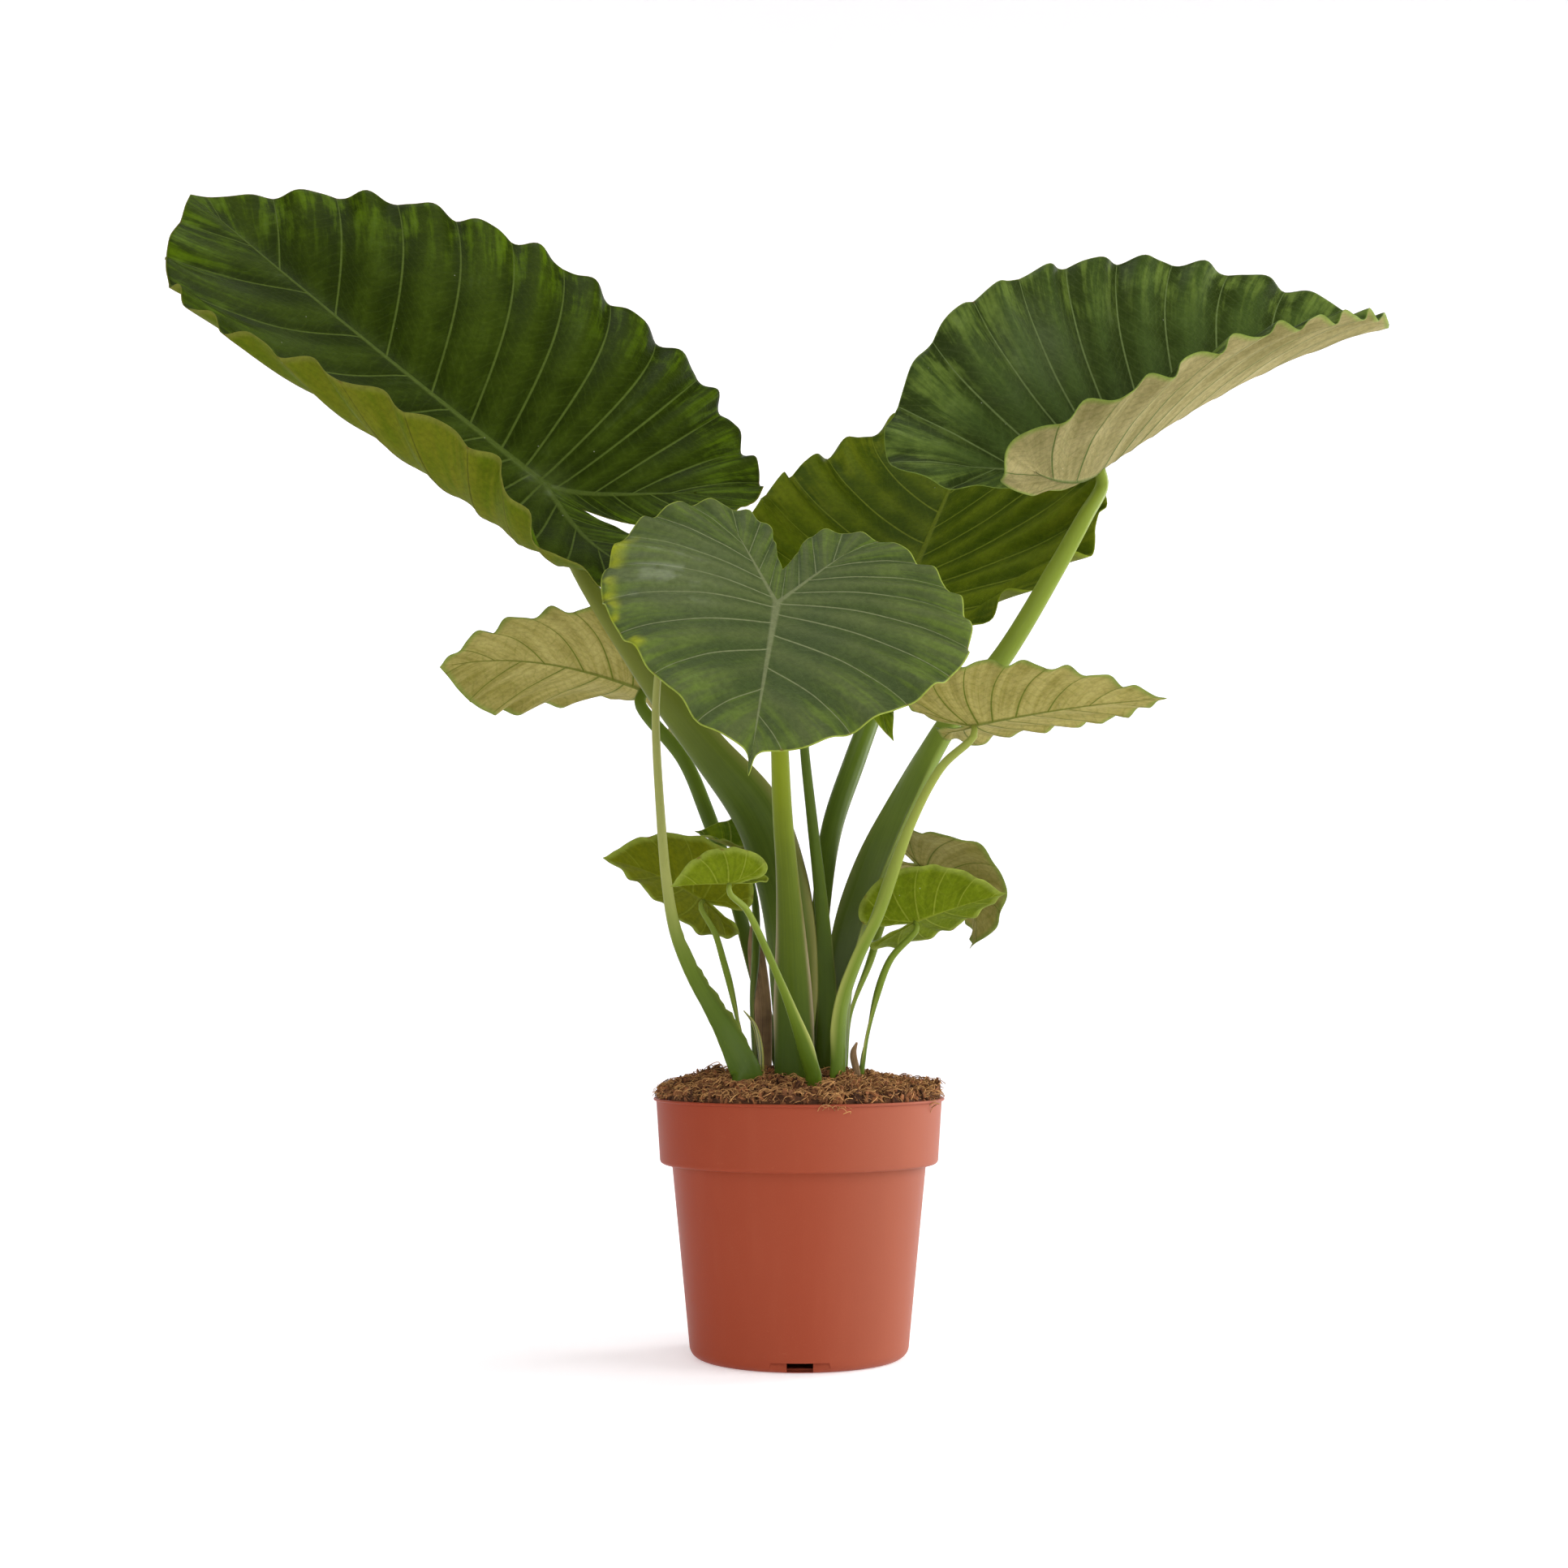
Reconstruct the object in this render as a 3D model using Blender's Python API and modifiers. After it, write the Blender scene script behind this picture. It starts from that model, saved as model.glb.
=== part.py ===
"""Giant taro in a plastic nursery pot, as closed solids in metres with +Z up.

The origin is the middle of the pot's flat bottom. The plant is seen from -Y.
Each leaf is a waved blade on a stem of its own. The stems stand in plain holes in the soil.
"""
import math

import bmesh
import bpy
import numpy as np

NAME = "giant_taro"

# Pot
RIM_RADIUS = 0.1200
POT_HEIGHT = 0.2135
BAND_BOTTOM = 0.1590
BAND_LOW_RADIUS = 0.1166
BODY_TOP_RADIUS = 0.1064
BODY_LOW_RADIUS = 0.0914
FOOT_RADIUS = 0.0810
FOOT_ROUND = 0.0100
BEAD = 0.0022
LIP = 0.0022
WALL = 0.0022
FLOOR = 0.0030
TURN_STEPS = 46
NOTCH_COUNT = 3
NOTCH_WIDTH = 0.0540
NOTCH_TAPER = 0.86
NOTCH_HEIGHT = 0.0088
NOTCH_DEPTH = 0.0012
FOOT_STEP = 0.0050
FOOT_STEP_TOP = 0.0180
LEDGE_RISE = 0.0008
BAND_ROUND = 0.0035
FACE_SHARE = 0.955
CUT_MARGIN = 0.0200
DRAIN_WIDTH = 0.0210
DRAIN_LOW = 0.0012
DRAIN_HIGH = 0.0080
DRAIN_LENGTH = 0.0120

# Soil
SOIL_EDGE_HEIGHT = 0.2170
SOIL_MOUND = 0.0150
SOIL_LUMP = 0.0022
# Place, reach and height of each broad heap or hollow of the soil
SOIL_HEAPS = ((-0.075, 0.000, 0.035, 0.0050), (0.045, 0.000, 0.020, 0.0020), (0.108, 0.000, 0.022, 0.0040),
              (-0.002, -0.070, 0.030, -0.0055))
SOIL_RINGS = 7
SOIL_SKIRT = 0.0030

# Clearances and seats
GAP = 0.0003
SOIL_GAP = 0.0005
HOLE_GAP = 0.0005
SEAT = 0.2060
HOLE_TOP = 0.2480
COLLAR = 0.2350

# Colours
DARK_GREEN = (0.020, 0.060, 0.010)
LEAF_GREEN = (0.040, 0.110, 0.015)
GREY_GREEN = (0.045, 0.100, 0.040)
PALE_GREEN = (0.180, 0.240, 0.060)
STEM_GREEN = (0.090, 0.180, 0.030)
SHEATH_YELLOW = (0.350, 0.420, 0.050)
DRY_BROWN = (0.240, 0.140, 0.055)
POT_TERRACOTTA = (0.420, 0.110, 0.050)
SOIL_BROWN = (0.080, 0.040, 0.020)

# Stem lofts
BACK_SIDES = 6
FRONT_SIDES = 4
SECTION_STEP = 0.045
NECK = 2.5
END_TAPER = 0.65

# Blade outline: share of the front length and share of the half width, from the tip
MARGIN_FRONT = ((0.955, 0.055), (0.84, 0.30), (0.66, 0.60), (0.45, 0.83), (0.22, 0.97), (0.05, 1.0))
DRIP_REACH = 0.07
# Share of the lobe length behind the stem and share of the half width, towards the sinus
MARGIN_LOBE = ((0.25, 0.975), (0.60, 0.84), (0.90, 0.62), (1.0, 0.42))
# Share of the way from the sinus to the lobe's end and share of the half width, back to the sinus
MARGIN_CLEFT = ((0.915, 0.25), (0.63, 0.14), (0.28, 0.075))
LOBE_RIB = (0.70, 0.31)
MIDRIB_END = 0.94
START_PULL = 0.12
CURVE_PIECES = 16
PLACE_PIECES = 8
ROWS_INNER = (0.0, 0.42)
ROWS_OUTER = (0.76, 1.0)
VEIN_OFFSET = 0.25
WAVE_REACH = 0.45
TIP_CALM = 0.12
SINUS_CALM = 0.25
FLAT_RIB_SHARE = 0.02
BEND_EXPONENT = 1.4
DROOP_EXPONENT = 1.5


class Blade:
    """One leaf blade: a flat heart outline that is bent, folded, curled and waved."""

    def __init__(self, at, turn, rise, roll, length, left, right, lobe, veins, lobe_veins, sinus=10, droop=0,
                 sweep=0, twist=0, lobe_rise=0, belly=1.0, cleft=1.0, drip=0.0, fold_left=(0, 0, 0),
                 fold_right=(0, 0, 0), curl_left=(0, 0, 0), curl_right=(0, 0, 0), wave=6.0, scallop=0.0,
                 steps=4, thick=1.2, tint=LEAF_GREEN):
        """Lengths are given in millimetres and angles in degrees. Veins are counted on half the blade."""
        self.at = np.array(at) / 1000
        self.turn = math.radians(turn)
        self.rise = math.radians(rise)
        self.roll = math.radians(roll)
        self.length = length / 1000
        self.widths = {1: left / 1000, -1: right / 1000}
        self.lobe = lobe / 1000
        self.sinus = sinus / 1000
        self.droop = math.radians(droop)
        self.sweep = math.radians(sweep)
        self.twist = math.radians(twist)
        self.lobe_rise = math.radians(lobe_rise)
        self.belly = belly
        self.cleft = cleft
        self.drip = drip
        self.folds = {1: np.radians(fold_left), -1: np.radians(fold_right)}
        self.curls = {1: np.radians(curl_left), -1: np.radians(curl_right)}
        self.wave = wave / 1000
        self.scallop = scallop / 1000
        self.veins = veins
        self.lobe_veins = lobe_veins
        self.steps = steps
        self.thick = thick / 1000
        self.tint = tint

    def axes(self):
        """Rows: towards the tip, to the left, and up out of the upper face, at the stem's end."""
        ca, sa = math.cos(self.turn), math.sin(self.turn)
        ce, se = math.cos(self.rise), math.sin(self.rise)
        tip = np.array((ce * ca, ce * sa, se))
        left = np.array((-sa, ca, 0.0))
        up = np.cross(tip, left)
        c, s = math.cos(self.roll), math.sin(self.roll)
        return np.array((tip, c * left + s * up, c * up - s * left))

    def graded(self, values, x):
        """Blend the lobe, stem and tip values along the blade."""
        front = np.clip(x / self.length, 0, 1) ** BEND_EXPONENT
        rear = np.clip(-x / self.lobe, 0, 1) ** BEND_EXPONENT
        return values[1] + (values[2] - values[1]) * front + (values[0] - values[1]) * rear

    def spine(self):
        """Stations along the bent midrib: place along it, points, and three axes at each."""
        x = np.concatenate((np.linspace(-self.lobe, 0, 17), np.linspace(0, self.length, 33)[1:]))
        front = np.clip(x / self.length, 0, 1)
        rear = np.clip(-x / self.lobe, 0, 1)
        pitch = self.lobe_rise * rear - self.droop * front ** DROOP_EXPONENT
        yaw = self.sweep * front ** DROOP_EXPONENT
        roll = self.twist * front
        tip = np.stack((np.cos(pitch) * np.cos(yaw), np.cos(pitch) * np.sin(yaw), np.sin(pitch)), 1)
        left = np.stack((-np.sin(yaw), np.cos(yaw), 0 * yaw), 1)
        up = np.cross(tip, left)
        c, s = np.cos(roll)[:, None], np.sin(roll)[:, None]
        left, up = c * left + s * up, c * up - s * left
        points = np.zeros((len(x), 3))
        points[1:] = np.cumsum((tip[1:] + tip[:-1]) / 2 * np.diff(x)[:, None], 0)
        points -= [np.interp(0, x, points[:, i]) for i in range(3)]
        return x, points, left, up

    def place(self, flat, side):
        """World points of flat points (n, 2) on one side of the midrib (1 left, -1 right)."""
        x = flat[:, 0]
        t = np.abs(flat[:, 1])
        stations, points, left, up = self.spine()
        at, left, up = (np.stack([np.interp(x, stations, line[:, i]) for i in range(3)], 1)
                        for line in (points, left, up))
        fold = self.graded(self.folds[side], x)
        curl = self.graded(self.curls[side], x)
        flat_rib = (FLAT_RIB_SHARE * self.length) ** 2
        out = np.zeros_like(t)
        rise = np.zeros_like(t)
        for k in range(PLACE_PIECES):
            tk = t * (k + 0.5) / PLACE_PIECES
            angle = fold * tk ** 2 / (tk ** 2 + flat_rib) + curl * tk / self.widths[side]
            out += np.cos(angle) * t / PLACE_PIECES
            rise += np.sin(angle) * t / PLACE_PIECES
        local = at + (side * out)[:, None] * left + rise[:, None] * up
        return self.at + local @ self.axes()

    def margin(self, side):
        """The flat margin of one half from the tip to the sinus, and its share of length at each point."""
        width = self.widths[side]
        marks = [(self.length, 0.0)] + [(u * self.length, w ** self.belly * width) for u, w in MARGIN_FRONT]
        marks[1] = (marks[1][0] - DRIP_REACH * self.drip * self.length, marks[1][1])
        marks += [(-u * self.lobe, w * width) for u, w in MARGIN_LOBE]
        behind = self.lobe - self.sinus
        marks += [(-self.sinus - u * behind, w * width * self.cleft) for u, w in MARGIN_CLEFT]
        marks.append((-self.sinus, 0.0))
        line = smooth_line(marks, CURVE_PIECES)
        line[:, 0] = np.clip(line[:, 0], -self.lobe, self.length)
        line[:, 1] = np.maximum(line[:, 1], 0) * side
        share = np.concatenate(((0,), np.cumsum(np.linalg.norm(np.diff(line, axis=0), axis=1))))
        return line, share / share[-1]

    def columns(self, side):
        """Margin share, vein count, start and end of each column, with as many columns on both halves."""
        line, share = self.margin(side)
        front = share[np.argmin(np.abs(line[:, 0]))]
        back = share[np.argmin(line[:, 0])]
        along = np.linspace(0, 1, 2 * round(self.veins * self.steps / 2) + 1)
        flank = np.linspace(0, 1, 2 * round(self.lobe_veins * self.steps / 2) + 1)[1:]
        rib_end = np.array((-LOBE_RIB[0] * self.lobe, side * LOBE_RIB[1] * self.widths[side]))
        near = 1 - along
        midrib = MIDRIB_END * self.length * near * (START_PULL + (1 - START_PULL) * near)
        start = np.vstack((np.stack((midrib, 0 * near), 1), flank[:, None] * rib_end,
                           (1 - flank[:, None]) * rib_end))
        shares = np.concatenate((front * along, front + (back - front) * flank, back + (1 - back) * flank))
        beat = np.concatenate((self.veins * along, self.veins + self.lobe_veins * flank,
                               self.veins + self.lobe_veins * (1 + flank)))
        beat += VEIN_OFFSET if side > 0 else VEIN_OFFSET + 0.5
        end = np.stack([np.interp(shares, share, line[:, i]) for i in range(2)], 1)
        reach = np.linalg.norm(end - start, axis=1)
        notch = self.scallop * (1 - np.abs(np.sin(math.pi * beat))) * self.fade(shares, reach, side)
        return shares, beat, start, end - (end - start) * (notch / reach)[:, None]

    def fade(self, share, reach, side):
        """How strong the margin's waves are: none at tip and sinus, and less where veins are short."""
        return np.minimum.reduce([np.ones_like(share), share / TIP_CALM, (1 - share) / SINUS_CALM,
                                  reach / (WAVE_REACH * self.widths[side])])

    def ripple(self, share, beat, b, side, reach):
        """Height of the margin's waves at row b, with a trough at each vein."""
        turn = 2 * math.pi * beat
        wave = self.wave * b ** 3 * self.fade(share, reach, side)
        return wave * (-np.cos(turn) + 0.35 * np.sin(1.7 * turn + 2))

    def half(self, side):
        """Rows of keys and world points for one half: inner rows use every second column."""
        every = self.columns(side)
        rows = []
        for b in ROWS_INNER + ROWS_OUTER:
            share, beat, start, end = (part[::2] if b in ROWS_INNER else part for part in every)
            flat = start + (end - start) * b
            points = self.place(flat, side)
            step = 1e-4
            inward = np.where(flat[:, :1] > 0, -step, step)
            along = (self.place(flat + inward * (1, 0), side) - points) / inward
            across = (self.place(flat + (0, step * side), side) - points) * side
            normal = np.cross(along, across)
            normal /= np.linalg.norm(normal, axis=1)[:, None]
            lift = self.ripple(share, beat, b, side, np.linalg.norm(end - start, axis=1))
            keys = [(round(u, 6), round(v, 6)) for u, v in flat]
            rows.append((keys, points + lift[:, None] * normal))
        return rows

    def stem_end(self, width):
        """Where a stem of this half width ends: just under the blade, also under a half that falls away."""
        fall = 0.0
        for side in (1, -1):
            out = np.array([[0.0, side * ROWS_INNER[1] * self.widths[side]]])
            across, rise = ((self.place(out, side)[0] - self.at) @ self.axes().T)[1:]
            fall = max(fall, -rise / abs(across) * width)
        return self.at - self.axes()[2] * (self.thick / 2 + GAP + fall)

    def sheet(self):
        """Vertices and triangles of the open blade, both halves joined on the midrib, ribs and sinus."""
        index = {}
        verts = []
        faces = []

        def vertex(key, point):
            if key not in index:
                index[key] = len(verts)
                verts.append(tuple(point))
            return index[key]

        def far(a, b):
            return np.linalg.norm(np.subtract(verts[a], verts[b]))

        def add(a, b, c, side):
            if len({a, b, c}) == 3:
                faces.append((a, b, c) if side < 0 else (a, c, b))

        for side in (1, -1):
            grid = [[vertex(k, p) for k, p in zip(*row)] for row in self.half(side)]
            for inner, outer in zip(grid, grid[1:]):
                if len(inner) == len(outer):
                    for a, b, c, d in zip(inner, inner[1:], outer[1:], outer):
                        if far(b, d) < far(a, c):
                            add(a, b, d, side)
                            add(b, c, d, side)
                        else:
                            add(a, b, c, side)
                            add(a, c, d, side)
                else:
                    for i in range(len(inner) - 1):
                        add(inner[i], outer[2 * i + 1], outer[2 * i], side)
                        add(inner[i], inner[i + 1], outer[2 * i + 1], side)
                        add(inner[i + 1], outer[2 * i + 2], outer[2 * i + 1], side)
        return verts, faces


class Stem:
    """A leaf stem or sheath: a loft whose section is a flattened D low down and round at the top."""

    def __init__(self, route, facing=90, flat=0.6, channel=0.45, sheath=0.55, tint=STEM_GREEN):
        """The route holds x, y, z and half width in millimetres, from the soil up. Facing is in degrees."""
        self.route = np.array(route, float) / 1000
        self.facing = math.radians(facing)
        self.flat = flat
        self.channel = channel
        self.sheath = sheath
        self.tint = tint

    def section(self, width, share, grow=0.0):
        """Points of the cross-section in its own plane: x across, y towards the open face."""
        closed = min(1.0, max(0.0, (share - 0.25 * self.sheath) / (0.75 * self.sheath)))
        closed = closed * closed * (3 - 2 * closed)
        depth = width * (self.flat + (1 - self.flat) * closed)
        channel = np.interp(share, (0, 0.1, 0.1 + 0.25 * self.sheath), (0.3, 0.3, -self.channel))
        face = depth * (channel * (1 - closed) + closed)
        width, depth, face = width + grow, depth + grow, face + grow
        back = [(width * math.cos(a), -depth * math.sin(a)) for a in np.linspace(0, math.pi, BACK_SIDES + 1)]
        front = [(-width * math.cos(a), face * math.sin(a))
                 for a in np.linspace(0, math.pi, FRONT_SIDES + 1)[1:-1]]
        return back + front

    def path(self, blade=None):
        """Points with half widths and tangents from the seat to the blade or to the sheath's own tip."""
        foot = self.route[0]
        marks = [(foot[0], foot[1], COLLAR, foot[3])] + [tuple(r) for r in self.route[1:]]
        if blade is not None:
            width = self.route[-1][3] * END_TAPER
            end = blade.stem_end(width)
            neck = NECK * self.route[-1][3]
            marks.append((*(end - blade.axes()[2] * neck), (width + self.route[-1][3]) / 2))
            marks.append((*end, width))
        line = smooth_line(marks, CURVE_PIECES)
        share = np.concatenate(((0,), np.cumsum(np.linalg.norm(np.diff(line[:, :3], axis=0), axis=1))))
        count = max(5, round(share[-1] / SECTION_STEP))
        stops = np.linspace(0, share[-1], count + 1)
        points = np.stack([np.interp(stops, share, line[:, i]) for i in range(4)], 1)
        tangents = np.gradient(points[:, :3], axis=0)
        tangents[0] = (0, 0, 1)
        if blade is not None:
            tangents[-1] = blade.axes()[2]
        tangents /= np.linalg.norm(tangents, axis=1)[:, None]
        return points, tangents, stops / share[-1]

    def rings(self, blade=None):
        """World rings of the loft. The first two make the straight foot that stands in the hole."""
        points, tangents, shares = self.path(blade)
        open_way = np.array((math.cos(self.facing), math.sin(self.facing), 0.0))
        rings = []
        for point, tangent, share in zip(points, tangents, shares):
            open_way = open_way - tangent * (open_way @ tangent)
            open_way /= np.linalg.norm(open_way)
            across = np.cross(tangent, open_way)
            ring = [point[:3] + u * across + v * open_way for u, v in self.section(point[3], share)]
            if not rings:
                rings.append([q * (1, 1, 0) + (0, 0, SEAT) for q in ring])
            rings.append(ring)
        return rings

    def hole(self):
        """The two rings of the plain hole that the foot stands in."""
        foot = self.route[0]
        open_way = np.array((math.cos(self.facing), math.sin(self.facing), 0.0))
        across = np.cross((0, 0, 1), open_way)
        ring = [np.array((foot[0], foot[1], 0)) + u * across + v * open_way
                for u, v in self.section(foot[3], 0.0, HOLE_GAP)]
        return [[q + (0, 0, z) for q in ring] for z in (SEAT - GAP, HOLE_TOP)]


def smooth_line(marks, pieces):
    """A centripetal curve through the marks, as points."""
    marks = np.asarray(marks, float)
    marks = np.vstack((2 * marks[0] - marks[1], marks, 2 * marks[-1] - marks[-2]))
    out = []
    for p0, p1, p2, p3 in zip(marks, marks[1:], marks[2:], marks[3:]):
        t1 = np.linalg.norm(p1 - p0) ** 0.5
        t2 = t1 + np.linalg.norm(p2 - p1) ** 0.5
        t3 = t2 + np.linalg.norm(p3 - p2) ** 0.5
        t = np.linspace(t1, t2, pieces, endpoint=False)[:, None]
        a1 = (t1 - t) / t1 * p0 + t / t1 * p1
        a2 = (t2 - t) / (t2 - t1) * p1 + (t - t1) / (t2 - t1) * p2
        a3 = (t3 - t) / (t3 - t2) * p2 + (t - t2) / (t3 - t2) * p3
        b1 = (t2 - t) / t2 * a1 + t / t2 * a2
        b2 = (t3 - t) / (t3 - t1) * a2 + (t - t1) / (t3 - t1) * a3
        out.append((t2 - t) / (t2 - t1) * b1 + (t - t1) / (t2 - t1) * b2)
    out.append(marks[-2][None])
    return np.vstack(out)


BLADES = {
    "upper_left": Blade((-217, -20, 733), 175, 39, -31, 448, 200, 230, 166, 9, 4, sinus=40, droop=6,
                        sweep=-16, twist=-18, lobe_rise=-46, belly=0.77, cleft=0.45,
                        fold_left=(-25, -41, -11), fold_right=(10, 51, 13), curl_left=(50, 129, 55),
                        curl_right=(-14, -56, -5), wave=4.5, scallop=2.5, tint=DARK_GREEN),
    "upper_right": Blade((263, 20, 759), 34, 33, 22, 414, 189, 153, 181, 8, 3, droop=12, sweep=-10, twist=9,
                         lobe_rise=-29, belly=0.77, fold_left=(19, 54, 25), fold_right=(72, 54, 51),
                         curl_left=(-14, -9, -19), curl_right=(-31, -8, -42), wave=4.5, scallop=2,
                         tint=DARK_GREEN),
    "front": Blade((-18, -200, 599), -97, -42, -14, 204, 152, 135, 121, 5, 4, sinus=50, droop=11, sweep=1,
                   twist=2, lobe_rise=3, belly=1.13, cleft=0.6, drip=1.0, fold_left=(10, 7, 5),
                   fold_right=(9, 10, 21), curl_left=(-21, -11, 7), curl_right=(3, -20, -14), wave=3,
                   scallop=1.5, tint=GREY_GREEN),
    "back": Blade((103, 205, 677), 62, 51, -7, 421, 172, 213, 119, 8, 3, sweep=-17, twist=-9,
                  lobe_rise=-7, fold_left=(0, 27, -3), fold_right=(14, 5, 12), curl_left=(0, 39, -9),
                  curl_right=(10, 3, 10), wave=6, scallop=2.0),
    "middle_left": Blade((-142, 160, 581), 186, 19, 31, 194, 90, 121, 70, 6, 3, droop=39, sweep=-5, twist=7,
                         belly=0.71, fold_left=(5, 3, -5), fold_right=(5, 23, -10), curl_left=(0, 6, -28),
                         curl_right=(0, 29, -17), wave=4, scallop=1.5, steps=3, thick=1.0, tint=PALE_GREEN),
    "middle_right": Blade((142, -85, 519), -24, 8, -15, 161, 76, 81, 46, 6, 2, droop=8, sweep=3, twist=-4,
                          lobe_rise=-32, belly=0.94, fold_left=(8, 14, 9), fold_right=(1, 8, 6),
                          curl_left=(-21, 2, 0), curl_right=(-3, 9, -11), wave=2.5, scallop=1.0, steps=3,
                          thick=1.0, tint=PALE_GREEN),
    "hidden_left": Blade((-115, -108, 587), 28, 12, 0, 70, 33, 33, 22, 4, 1, sinus=6, droop=23,
                         fold_left=(20, 20, 20), fold_right=(20, 20, 20), wave=1.5, steps=3, thick=0.8),
    "hidden_middle": Blade((0, -70, 583), -54, -16, 14, 144, 35, 57, 40, 5, 2, sinus=6, droop=58, twist=5,
                           fold_left=(20, 20, 30), fold_right=(20, 18, 33), wave=1.5, steps=3, thick=0.8),
    "low_left": Blade((-79, -35, 378), 174, 31, 39, 93, 59, 49, 38, 4, 2, sinus=8, droop=22, sweep=-7,
                      twist=-3, belly=0.94, fold_left=(12, 12, 11), fold_right=(11, 7, 15),
                      curl_left=(3, 3, -6), curl_right=(2, -7, 5), wave=1.5, steps=3, thick=0.8),
    "young_left": Blade((-55, -160, 386), 178, 0, 20, 46, 32, 25, 30, 3, 2, sinus=8, droop=9,
                        fold_left=(48, 40, 31), fold_right=(45, 45, 30), curl_left=(4, -8, -1), wave=1,
                        steps=3, thick=0.8),
    "low_back": Blade((-42, 40, 421), 158, 20, -21, 57, 26, 42, 20, 3, 1, sinus=5, droop=-5,
                      fold_left=(50, 42, 29), fold_right=(40, 42, 24), curl_left=(0, -11, -2), wave=1,
                      steps=3, thick=0.8),
    "low_right": Blade((98, 0, 361), -3, 20, -33, 81, 49, 50, 43, 4, 2, sinus=6, droop=9, twist=-3,
                       fold_left=(15, 14, 17), fold_right=(38, 32, 20), curl_left=(0, 0, -5),
                       curl_right=(4, -6, -1), wave=1.5, steps=3, thick=0.8),
    "behind_right": Blade((110, 100, 414), -9, -21, -26, 105, 46, 80, 29, 4, 1, sinus=6, droop=103, sweep=8,
                          twist=-12, belly=0.94, fold_left=(7, 9, 5), fold_right=(5, 0, 26),
                          curl_left=(2, 5, 0), curl_right=(0, -16, 20), wave=2, steps=3, thick=0.8),
}

STEMS = {
    "upper_left": Stem(((-4, 4, 230, 15), (-5, 4, 296, 21), (-8, 2, 351, 23), (-16, 0, 398, 24),
                        (-36, -2, 454, 24), (-76, -2, 506, 18), (-117, -4, 558, 14), (-150, -4, 603, 10),
                        (-180, -2, 648, 7.5), (-204, 2, 691, 6.5)), facing=60, flat=0.45, sheath=0.75),
    "upper_right": Stem(((31, 22, 230, 12), (36, 22, 317, 16), (46, 22, 365, 19), (64, 22, 414, 20),
                         (88, 22, 463, 17), (127, 22, 530, 11), (177, 22, 591, 9), (224, 24, 668, 8),
                         (251, 24, 716, 7)), facing=215, flat=0.55, channel=0.6, sheath=0.65),
    "front": Stem(((-3.5, -34, 230, 17), (-5, -40, 296, 15), (-7, -52, 350, 11.5), (-10, -70, 396, 9),
                   (-14, -98, 447, 8), (-16, -128, 496, 7), (-18, -155, 544, 6)), facing=90, flat=0.55),
    "back": Stem(((12, 36, 230, 8), (15, 46, 296, 7), (20, 68, 374, 8), (30, 97, 446, 9.5),
                  (51, 128, 509, 10), (74, 165, 570, 9)), facing=-90, flat=0.8),
    "middle_left": Stem(((-14, 36, 230, 7), (-32, 50, 296, 6), (-41, 60, 331, 6.5), (-57, 82, 389, 6.5),
                         (-83, 115, 464, 7), (-105, 138, 514, 6.5)), facing=-60, flat=0.8),
    "middle_right": Stem(((30, -30, 230, 13), (34, -34, 290, 10.5), (47, -38, 330, 8.5), (65, -43, 367, 6.5),
                          (93, -58, 442, 4), (117, -70, 486, 3.6)), facing=160, flat=0.6),
    "hidden_left": Stem(((-42.5, -52, 230, 15), (-61, -58, 270, 10.5), (-73, -66, 291, 8),
                         (-87, -74, 316, 6.5), (-100, -84, 349, 5.3), (-107, -94, 388, 4.3),
                         (-112, -104, 446, 3.6), (-116, -108, 525, 3.2)), facing=-55, flat=0.3, sheath=0.45),
    "hidden_middle": Stem(((20.5, 4, 230, 8), (24, 1, 290, 8.5), (22, -3, 335, 7), (18, -10, 385, 5.5),
                           (11, -28, 445, 4.5), (4, -55, 507, 3.8)), facing=-90, flat=0.8),
    "low_left": Stem(((-40.5, -26, 230, 4), (-49, -26, 275, 3.4), (-56, -27, 302, 3), (-63, -29, 327, 2.8),
                      (-70, -31, 350, 2.5)), facing=0, flat=0.9),
    "young_left": Stem(((11.5, -62, 230, 7.5), (3, -66, 260, 6.5), (-5, -74, 282, 4.6), (-15, -88, 308, 3.4),
                        (-28, -108, 338, 3), (-42, -134, 366, 2.7)), facing=60, flat=0.6),
    "low_back": Stem(((-35, 16, 230, 4.5), (-38, 20, 293, 4.2), (-37, 28, 331, 3.6), (-37, 36, 373, 3.2)),
                     facing=0, flat=0.9),
    "low_right": Stem(((51, -12, 230, 4), (56, -10, 266, 3.4), (65, -8, 298, 3.2), (78, -4, 330, 2.9)),
                      facing=180, flat=0.9),
    "behind_right": Stem(((38, 38, 230, 4.5), (43, 42, 283, 4), (62, 52, 328, 3.5), (76, 72, 367, 3.3),
                          (90, 88, 392, 3.2)), facing=180, flat=0.9),
}
SHEATHS = {
    "striped_sheath": Stem(((-31, -27, 230, 4), (-33, -28, 256, 6), (-38, -31, 275, 4.5),
                            (-46, -34, 286, 1.2)), facing=200, flat=0.4, sheath=3.0, tint=SHEATH_YELLOW),
    "dry_sheath": Stem(((-30, 31, 230, 7), (-31, 34, 289, 7.5), (-37, 42, 338, 7), (-38, 46, 373, 1.5)),
                       facing=90, flat=0.35, sheath=3.0, tint=DRY_BROWN),
    "dry_scale": Stem(((48, -27, 230, 3), (45, -28, 251, 2.7), (48, -30, 260, 0.8)),
                      facing=90, flat=0.4, sheath=3.0, tint=DRY_BROWN),
}


def material(name, colour, roughness):
    """A plain surface of one colour."""
    surface = bpy.data.materials.new(name)
    surface.use_nodes = True
    shader = surface.node_tree.nodes["Principled BSDF"]
    shader.inputs["Base Color"].default_value = (*colour, 1.0)
    shader.inputs["Roughness"].default_value = roughness
    shader.inputs["Metallic"].default_value = 0.0
    return surface


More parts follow.
